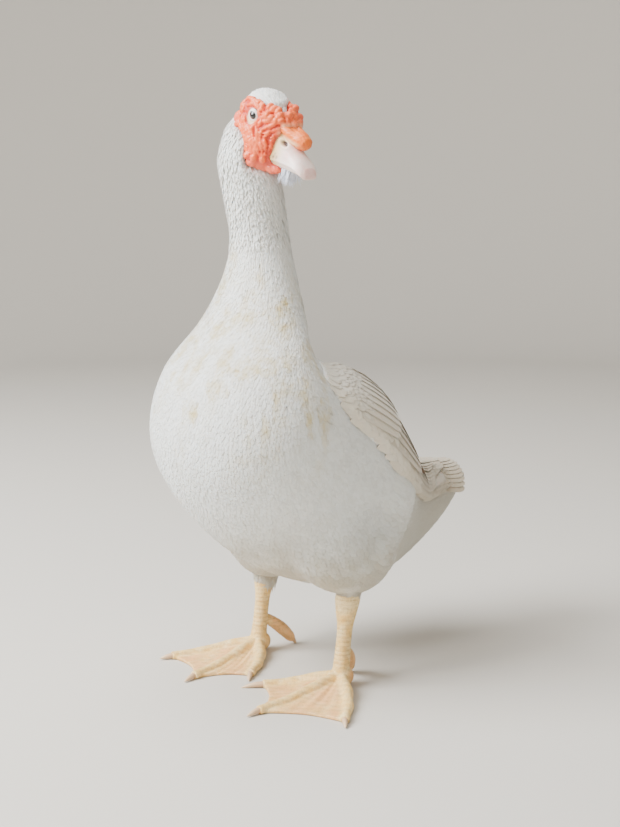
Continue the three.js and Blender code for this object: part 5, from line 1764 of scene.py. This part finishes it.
@dataclass
class Bill:
    """The upper and lower bill with nostrils and nail, and the tuft under the chin."""

    bench: Bench
    head: HeadSurface
    mouth_gap: float = 0.7
    nostril: tuple[float, float] = (34.6, -11.2)
    # ahead, ridge height, mouth height, half width and the lower bill's lowest height
    stations: tuple[tuple[float, float, float, float, float], ...] = (
        (12, 3, -31.5, 11, -38),
        (26, -3, -29.6, 12.4, -36.2),
        (37, -8.5, -27.6, 11.6, -33.4),
        (47.5, -13.6, -25.6, 11.2, -31.4),
        (57, -17.2, -24.6, 11.0, -29.8),
        (64, -21.4, -26.4, 9.2, -29.8),
        (68.2, -26.2, -29.8, 5.6, -30.6),
    )
    # place (ahead, up) and size of the dark specks near the bill's edge
    specks: tuple[tuple[float, ...], ...] = ((30.0, -25.0, 1.4), (33.5, -24.0, 1.1), (31.0, -22.4, 0.8))

    def build(self) -> None:
        """Makes the bill's pieces and the chin's tuft."""
        self.bench.add("bill_upper_skin", self.half(True), BILL, "bill_horn", "bill_upper")
        self.bench.add("bill_lower_skin", self.half(False), BILL, "bill_horn", "bill_lower")
        self.bench.add("bill_nail_horn", self.nail(), NAIL, "nail_horn", "bill_nail")
        self.bench.add("chin_tuft_hairs", self.tuft(), TUFT, "body_feather", "chin_tuft")

    def ring(self, place: Array, turn: Array, upper: bool, out: Number) -> Array:
        """Points of one half of the bill.

        Args:
            place: Fractional rows of the stations.
            turn: Radians round the section. The first half turn goes over it, the rest along the mouth.
            upper: Whether it is the upper half.
            out: How far it is grown.

        Returns:
            Spots as side, ahead and up.
        """
        ahead, top, mouth, half, under = np.moveaxis(on_stations(self.stations, place), -1, 0)
        way, edge, share = (1.0, top, 1.0) if upper else (-1.0, under, 0.86)
        line = mouth + way * self.mouth_gap / 2
        rise = np.sin(turn)
        over = signed_power(np.maximum(rise, 0), 0.92) * (np.abs(edge - line) + out)
        up = line + way * np.where(rise > 0, over, rise * 0.5)
        return np.stack([signed_power(np.cos(turn), 0.8) * (half * share + out), ahead, up], -1)

    def half(self, upper: bool) -> Sheet:
        """One half of the bill, closed and rounded at its tip, with nostrils sunk in the upper half."""
        last = len(self.stations) - (1.0 if upper else 1.5)
        place, turn = grid(np.linspace(0, last, 120), circle(96))
        spots = self.ring(place, turn, upper, 0.0)
        end = step(place, last - 0.42, 0.42)[..., None]
        spots = mix(spots, spots.mean(axis=1, keepdims=True), end**3 * 0.75)
        lip = hump(np.sin(turn) / 0.16) * (0.5 if upper else 0.2)
        spots[..., 0] += np.sign(spots[..., 0]) * lip * (1 - end[..., 0])
        # the nostrils' pits are painted dark as painted shade of their openings; the specks below are real
        # dark marks
        dark = self.sink_nostrils(spots) if upper else np.zeros(spots.shape[:-1])
        _, ahead, up = np.moveaxis(spots, -1, 0)
        yellow = step(ahead, 42, -14) * step(ahead, 18, 5) * 0.9
        flush = 0.7 * hump(np.hypot((ahead - 43) / 5, (up + 16.5) / 3.5)) + 0.3 * step(ahead, 60, 8)
        for speck_ahead, speck_up, size in self.specks:
            dark = np.maximum(dark, 0.9 * hump(np.hypot(ahead - speck_ahead, up - speck_up) / size))
        marks = np.stack([dark, yellow, flush], -1).reshape(-1, 3)
        sheet = skin_of_rings(self.head.to_bird(spots))
        sheet.marks = np.concatenate([marks, marks[:1], marks[-1:]])
        return sheet

    def sink_nostrils(self, spots: Array) -> Array:
        """Presses an oval nostril with a raised rim into each side of the bill.

        Args:
            spots: The upper bill's points, which are moved.

        Returns:
            How dark each is, the painted shade of the nostril's opening.
        """
        slant = math.radians(-16)
        side, ahead, up = np.moveaxis(spots, -1, 0) - np.array([0.0, *self.nostril])[:, None, None]
        long = ahead * math.cos(slant) + up * math.sin(slant)
        wide = -ahead * math.sin(slant) + up * math.cos(slant)
        far = np.hypot(long / 4.2, wide / 1.9)
        facing = step(np.abs(side), 1.5, 1.5)
        pit = (1 - step(far, 0.45, 0.6)) * facing
        rim = hump((far - 1.35) / 0.4) * facing
        spots[..., 0] += np.sign(side) * (rim * 0.55 - pit * 2.6)
        spots[..., 2] += rim * 0.3 - pit * 0.6
        return pit

    def nail(self) -> Sheet:
        """The hooked nail at the tip, a thin shell over the upper bill."""
        first, last = 4.9, 6.0
        place, turn = grid(np.linspace(first, last, 40), circle(48))
        wide = np.sin(np.clip((place - first) / (last - first), 0, 1) * math.pi * 0.5) ** 0.5
        over = math.pi / 2 + (turn - math.pi) * 0.34 * wide
        out = np.where(np.abs(turn - math.pi) < 0.95 * math.pi, 0.55, -0.4)
        middle = self.ring(place, np.full(place.shape, math.pi / 2), True, -2.0)
        end = step(place, 5.58, 0.42)[..., None]
        spots = mix(self.ring(place, over, True, out), middle, end**3 * 0.55)
        sheet = skin_of_rings(self.head.to_bird(spots))
        sheet.marks = np.tile([0.0, 0.0, 0.35], (len(sheet.points), 1))
        return sheet

    def tuft(self) -> Sheet:
        """The bluish hair-like feathers that hang under the chin."""
        draw = np.random.default_rng(80)
        t = np.linspace(0, 1, 6)
        strands = []
        for _ in range(210):
            side, ahead = draw.uniform(-6.5, 6.5), draw.uniform(33.5, 48.0)
            reach = draw.uniform(7, 14.5) * (1 - 0.02 * abs(side))
            across = side * (1 + 0.25 * t) + draw.normal(0, 2.0) * t * t
            along = ahead + (2.0 + draw.normal(0, 1.2)) * t * t
            line = np.stack([across, along, -31.5 - (reach + 2) * t + 0.16 * (ahead - 40)], -1)
            strand = tube(self.head.to_bird(line), 0.55 * (1 - 0.88 * t**1.5), 5)
            # a strand carries what a feather does, with a small patch on the skin's unwrap
            share = np.linspace(0, 1, len(strand.points))
            strand.marks = np.tile([0.0, 0.0, 0.5], (len(share), 1))
            strand.bake = Vanes.patch * share[:, None] + [0.5 + side / 40, 0.5 + (ahead - 40) / 60]
            strand.vane = np.outer(share, [0.0, 1.0])
            strands.append(strand)
        return Sheet.joined(strands)


# Legs


@dataclass
class Leg:
    """One leg from the feathered thigh's end down: shank, hind toe, webbed foot and claws."""

    bench: Bench
    name: str
    side: int
    joint: tuple[float, float, float]
    hock: tuple[float, float, float]
    toes: dict[str, tuple[float, float, float]]  # heading in degrees, length and claw length
    hind: tuple[float, float, float]
    cuff: float
    voxel: float = 0.85
    root_width: float = 14.0
    tip_width: float = 8.0
    root_height: float = 17.0
    tip_height: float = 7.6
    bow: float = 5.0
    scute: float = 4.2
    # share of the height and half width across and fore and aft, up the shank
    shank_rows: tuple[tuple[float, float, float], ...] = (
        (0, 8.8, 9.2),
        (0.14, 7.8, 8.2),
        (0.36, 6.8, 7.6),
        (0.58, 7.2, 8),
        (0.76, 10, 10.6),
        (0.9, 11.8, 12.4),
        (1, 10.6, 11.2),
    )

    def __post_init__(self) -> None:
        """Sets the thigh's surface on the hock, and finds the foot's middle and the hind toe's ends."""
        self.thigh = ThighSurface(self.side, self.hock, self.cuff)
        self.base = np.array([self.joint[0], self.joint[1], 0.0])
        self.hind_root = self.base + [0, 6, 37]
        self.hind_tip = self.base + [self.side * self.hind[0], self.hind[1], self.hind[2]]

    def heading(self, degrees: float) -> Array:
        """The direction of a toe over the ground."""
        turn = math.radians(degrees)
        return np.array([self.side * math.sin(turn), -math.cos(turn), 0.0])

    def toe_line(self, label: str, t: Array) -> Array:
        """Points along the middle of a toe on the ground, at shares of its length."""
        degrees, length, _ = self.toes[label]
        forward = self.heading(degrees)
        across = np.cross([0, 0, 1.0], forward)
        bend = {"outer": self.bow, "middle": 0.0, "inner": -self.bow}[label] * self.side
        return self.base + np.outer(t * length, forward) + np.outer(bend * np.sin(math.pi * t), across)

    def toe(self, label: str) -> Sheet:
        """One toe with rounded joints, its top cut by scutes."""
        t = np.linspace(0, 1, 90)
        line = self.toe_line(label, t)
        across = np.cross([0, 0, 1.0], unit(np.gradient(line, axis=0)))
        knuckle = 1 + 0.12 * np.cos(t * 3 * 2 * math.pi)
        half = mix(self.root_width, self.tip_width, t) / 2 * knuckle
        top = mix(self.root_height, self.tip_height, ease(t * 1.25)) * (0.94 + 0.06 * knuckle)
        scute = 0.5 * np.abs(np.sin(t * self.toes[label][1] / 3.6 * math.pi)) ** 0.6
        top, scute = top[:, None], scute[:, None]
        turn = circle(24)
        rise = np.sin(turn)
        rings = line[:, None, :] + across[:, None, :] * np.outer(half, np.cos(turn))[..., None]
        over = mix(0.42, 1.0, rise) * top + scute * rise
        rings[..., 2] = np.where(rise > 0, over, 0.42 * top * (1 + rise * 1.05))
        return skin_of_rings(rings)

    def web(self, first: str, second: str) -> Sheet:
        """The slack web between two toes, with fine folds that fan out from the joint."""
        share, t = grid(np.linspace(0, 1, 40), np.linspace(0.08, 0.985, 44))
        slack = np.sin(math.pi * share)
        flat = mix(self.toe_line(first, t[0]), self.toe_line(second, t[0]), share[..., None])
        top = self.base + (flat - self.base) * (1 - 0.09 * slack * t**3)[..., None]
        under = top.copy()
        folds = 0.5 * np.sin(share * 34) * slack * ease(t * 2) + 0.5 * np.sin(share * 19 + t * 5) * slack
        high = mix(14.0, 4.6, ease(t * 1.2)) - 2.6 * np.abs(slack) ** 0.7 * (1 - 0.35 * t) + folds
        top[..., 2] = high
        low = np.maximum(0.2, np.minimum(high - 3.2, 1.5) * (1 - t))
        under[..., 2] = np.minimum(low, high - 1.8)
        return skin_of_rings(np.concatenate([top, under[:, ::-1]], axis=1))

    def shank(self) -> list[Sheet]:
        """The shank with broad scutes down its front, the bulky hock and the hind toe."""
        low, high = np.array(self.joint) - [0, 0, 7], np.array(self.hock) + [0, 0, 9]
        turn = circle(40)
        c, s = np.cos(turn), np.sin(turn)
        front = step(s, 0.1, -0.8)
        rings = []
        for t, half_x, half_y in on_stations(self.shank_rows, np.linspace(0, len(self.shank_rows) - 1, 110)):
            middle = mix(low, high, t)
            plates = 0.95 * abs(math.sin(middle[2] / self.scute * math.pi)) ** 0.5
            grain = 0.4 * abs(math.sin(middle[2] / 2.6 * math.pi))
            out = mix(grain, plates, front) - 0.3
            rings.append(middle + np.stack([(half_x + out) * c, (half_y + out) * s, 0 * turn], -1))
        t = np.linspace(0, 1, 34)
        line = mix(self.hind_root, self.hind_tip, t[:, None]) + np.outer(np.sin(t * math.pi), [0, 1.8, 1.2])
        size = 6.2 * on_stations([[0.8], [0.95], [1.05], [0.86]], t * 3)[:, 0]
        size = size - 0.3 + 0.5 * np.abs(np.sin(t * 8 * math.pi)) ** 0.6
        pad = egg(self.base + [0, 2, 11], (11, 12.5, 10.5))
        return [skin_of_rings(np.array(rings)), tube(line, size, 18), pad]

    def build(self) -> None:
        """Makes the leg's fused hide and its four claws."""
        parts = [self.toe(label) for label in self.toes]
        parts += [self.web("outer", "middle"), self.web("middle", "inner")]
        obj = self.bench.fused(f"leg_{self.name}", parts + self.shank(), LEG, self.voxel, 2)
        points = self.bench.points_of(obj)
        points[:, 2] = np.maximum(points[:, 2], 0.0)
        self.bench.move_points(obj, points)
        self.colour(obj, points)
        self.bench.declare(obj, "leg_scale", f"shank_{self.name}", f"foot_{self.name}")
        self.claws()

    def colour(self, obj: Piece, points: Array) -> None:
        """Marks the web between the toes, the soil in its folds and the pale joints."""
        _, y, z = points.T
        nearest = np.full(len(points), 1e9)
        for label in self.toes:
            line = self.toe_line(label, np.linspace(0, 1, 40))[:, :2]
            far = np.linalg.norm(points[:, None, :2] - line[None], axis=-1)
            nearest = np.minimum(nearest, np.min(far, axis=1))
        web = step(nearest, 3.5, 7) * step(z, 22, -8) * (0.35 + 0.75 * mottle(points, 30, 18))
        web = np.maximum(web, 0.9 * step(y, self.joint[1] + 9, 8) * step(z, 45, -6))
        gap = 1 - np.abs(np.sin(z / self.scute * math.pi))
        seam = 0.3 * mottle(points, 14, 15) + 0.3 * step(mottle(points, 6, 16), 0.55, 0.2)
        seam += step(z, 20, 8) * 0.55 * step(gap, 0.6, 0.4)
        pale = 0.7 * step(z, 72, 10) + 0.5 * mottle(points, 11, 17) * (1 - web)
        self.bench.mark(obj, np.stack([web, seam, pale], -1))

    def claw(self, label: str, root: Array, forward: Array, length: float, dip: float, width: float) -> None:
        """Makes one claw as a bent, tapered horn.

        Args:
            label: Which toe it is on.
            root: The middle of its root.
            forward: The way it points.
            length: Its length.
            dip: How far its tip bends down.
            width: Its width at the root.
        """
        across = unit(np.cross([0, 0, 1.0], forward))
        upward = np.cross(forward, across)
        t = np.linspace(0, 1, 22)
        turn = circle(18)
        size = np.maximum(0.03, (1 - t**2.2)) ** 0.75 * width / 2
        middle = root + np.outer(t * length, forward) - np.outer(dip * t * t, upward)
        wide, high = (np.outer(size, way)[..., None] for way in (np.cos(turn), np.sin(turn)))
        rings = middle[:, None] + across * wide + upward * high * 1.04
        rings[..., 2] = np.maximum(rings[..., 2], 0.0)
        sheet = skin_of_rings(rings)
        sheet.marks = np.outer(np.append(np.repeat(t, len(turn)), [0, 1]), [1, 0, 0])
        name = f"claw_{label}_{self.name}"
        self.bench.add(f"{name}_horn", sheet, CLAW, "claw_horn", name)

    def claws(self) -> None:
        """Makes the four claws where the solids have them."""
        for label, (degrees, length, reach) in self.toes.items():
            forward = self.heading(degrees)
            root = self.base + [0, 0, self.tip_height * 0.5] + forward * (length - 1.5)
            self.claw(label, root, forward, reach + 1.5, reach * 0.17, 5.4)
        forward = unit(self.hind_tip - self.hind_root)
        self.claw("hind", self.hind_tip + forward * 2.0, forward, 9.5, 3.0, 5.0)


# Stage


@dataclass
class Studio:
    """The plain floor, the soft lights and the camera at the photograph's viewing angle."""

    bench: Bench
    camera_at: tuple[float, float, float] = (908.0, -860.0, 464.0)
    azimuth: float = 45.8  # degrees from the bird's heading towards its left
    pitch: float = 9.2  # degrees that the camera looks down
    focal_px: float = 1300.0
    sensor: float = 24.0
    floor_reach: float = 2600.0  # where the floor begins to rise to the backdrop
    floor_bend: float = 900.0
    wall_top: float = 3200.0
    # name, place in metres, length of its side in metres, power in watts and colour of each light
    lamps: tuple[tuple[str, tuple[float, float, float], float, float, str], ...] = (
        ("key", (-0.8, -1.8, 1.75), 1.5, 192.0, "#FBFDFF"),
        ("fill", (1.1, -1.7, 1.7), 1.6, 17.0, "#FFFAF2"),
        ("top", (-0.3, -0.2, 2.3), 1.6, 44.0, "#FFFFFF"),
    )
    lamps_aim: tuple[float, float, float] = (0.0, 0.0, 0.3)

    def build(self) -> None:
        """Makes floor, lights and camera."""
        self.floor()
        self.lights()
        self.camera()

    def floor(self) -> None:
        """Makes the pale floor, which rises to a backdrop all round."""
        sweep = np.linspace(0, math.pi / 2, 14)
        edge = self.floor_reach + self.floor_bend
        far = np.concatenate([[1.0], self.floor_reach + self.floor_bend * np.sin(sweep), [edge]])
        high = np.concatenate([[0.0], self.floor_bend * (1 - np.cos(sweep)), [self.wall_top]])
        turn = circle(96)
        x, y = np.outer(far, np.cos(turn)), np.outer(far, np.sin(turn))
        rings = np.stack([x, y, high[:, None] + 0 * turn], -1)
        bowl = skin_of_rings(rings - self.bench.shift * [1, 1, 0])
        capped = np.any(bowl.tris == len(bowl.points) - 1, axis=1)
        sheet = Sheet(bowl.points, bowl.quads[:, ::-1], bowl.tris[~capped][:, ::-1])
        obj = self.bench.piece("studio_floor", sheet, FLOOR)
        obj.data.shade_smooth()

    def lights(self) -> None:
        """Adds a key from the bird's front, a weak fill, a light from above and the room's own light."""
        for name, place, size, watts, colour in self.lamps:
            data = bpy.data.lights.new(name, "AREA")
            data.size = size
            data.energy = watts
            data.color = linear(colour)[:3]
            obj = bpy.data.objects.new(name, data)
            bpy.context.scene.collection.objects.link(obj)
            obj.location = place
            x, y, z = np.subtract(self.lamps_aim, place)
            obj.rotation_euler = (math.atan2(math.hypot(x, y), -z), 0.0, math.atan2(-x, y))
        world = bpy.data.worlds.new("studio_room")
        bpy.context.scene.world = world
        world.use_nodes = True
        background = world.node_tree.nodes["Background"]
        background.inputs["Color"].default_value = linear("#E6E5E3")
        background.inputs["Strength"].default_value = 0.4

    def camera(self) -> None:
        """Adds the camera."""
        data = bpy.data.cameras.new("camera")
        data.sensor_fit = "VERTICAL"
        data.sensor_height = self.sensor
        data.lens = self.sensor * self.focal_px / IMAGE_HEIGHT
        data.clip_start = 0.05
        obj = bpy.data.objects.new("camera", data)
        bpy.context.scene.collection.objects.link(obj)
        obj.location = self.bench.to_frame(np.array(self.camera_at))
        obj.rotation_euler = (math.radians(90 - self.pitch), 0.0, math.radians(self.azimuth))
        bpy.context.scene.camera = obj


def main() -> None:
    """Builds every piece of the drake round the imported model, and its stage."""
    logging.basicConfig(level=logging.INFO, format="%(name)s %(message)s")
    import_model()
    head = HeadSurface()
    wing = WingSurface(BodySurface())
    bench = Bench.from_frame(head)
    left_toes = {"outer": (47, 90, 13), "middle": (-3, 102, 14), "inner": (-43, 75, 22)}
    right_toes = {"outer": (29, 91, 13), "middle": (-9, 101, 14), "inner": (-42, 75, 15)}
    legs = (
        Leg(bench, "left", 1, (66, 0, 17), (65, 12, 86), left_toes, (-20, 33, 8), 7.0),
        Leg(bench, "right", -1, (-66, 11.5, 17), (-65, 23, 86), right_toes, (-7, 40, 8), -8.0),
    )
    face = Face(bench, head)
    coat = CoatSurface([leg.thigh for leg in legs], face)
    parts = (Plumes(bench, coat, wing, face, legs), Wings(bench, wing), Tail(bench), face)
    for part in (*parts, Eyes(bench, head), Bill(bench, head), *legs, Studio(bench)):
        part.build()
    log.info("the whole bird has %d triangles", bench.triangles)


if __name__ == "__main__":
    main()
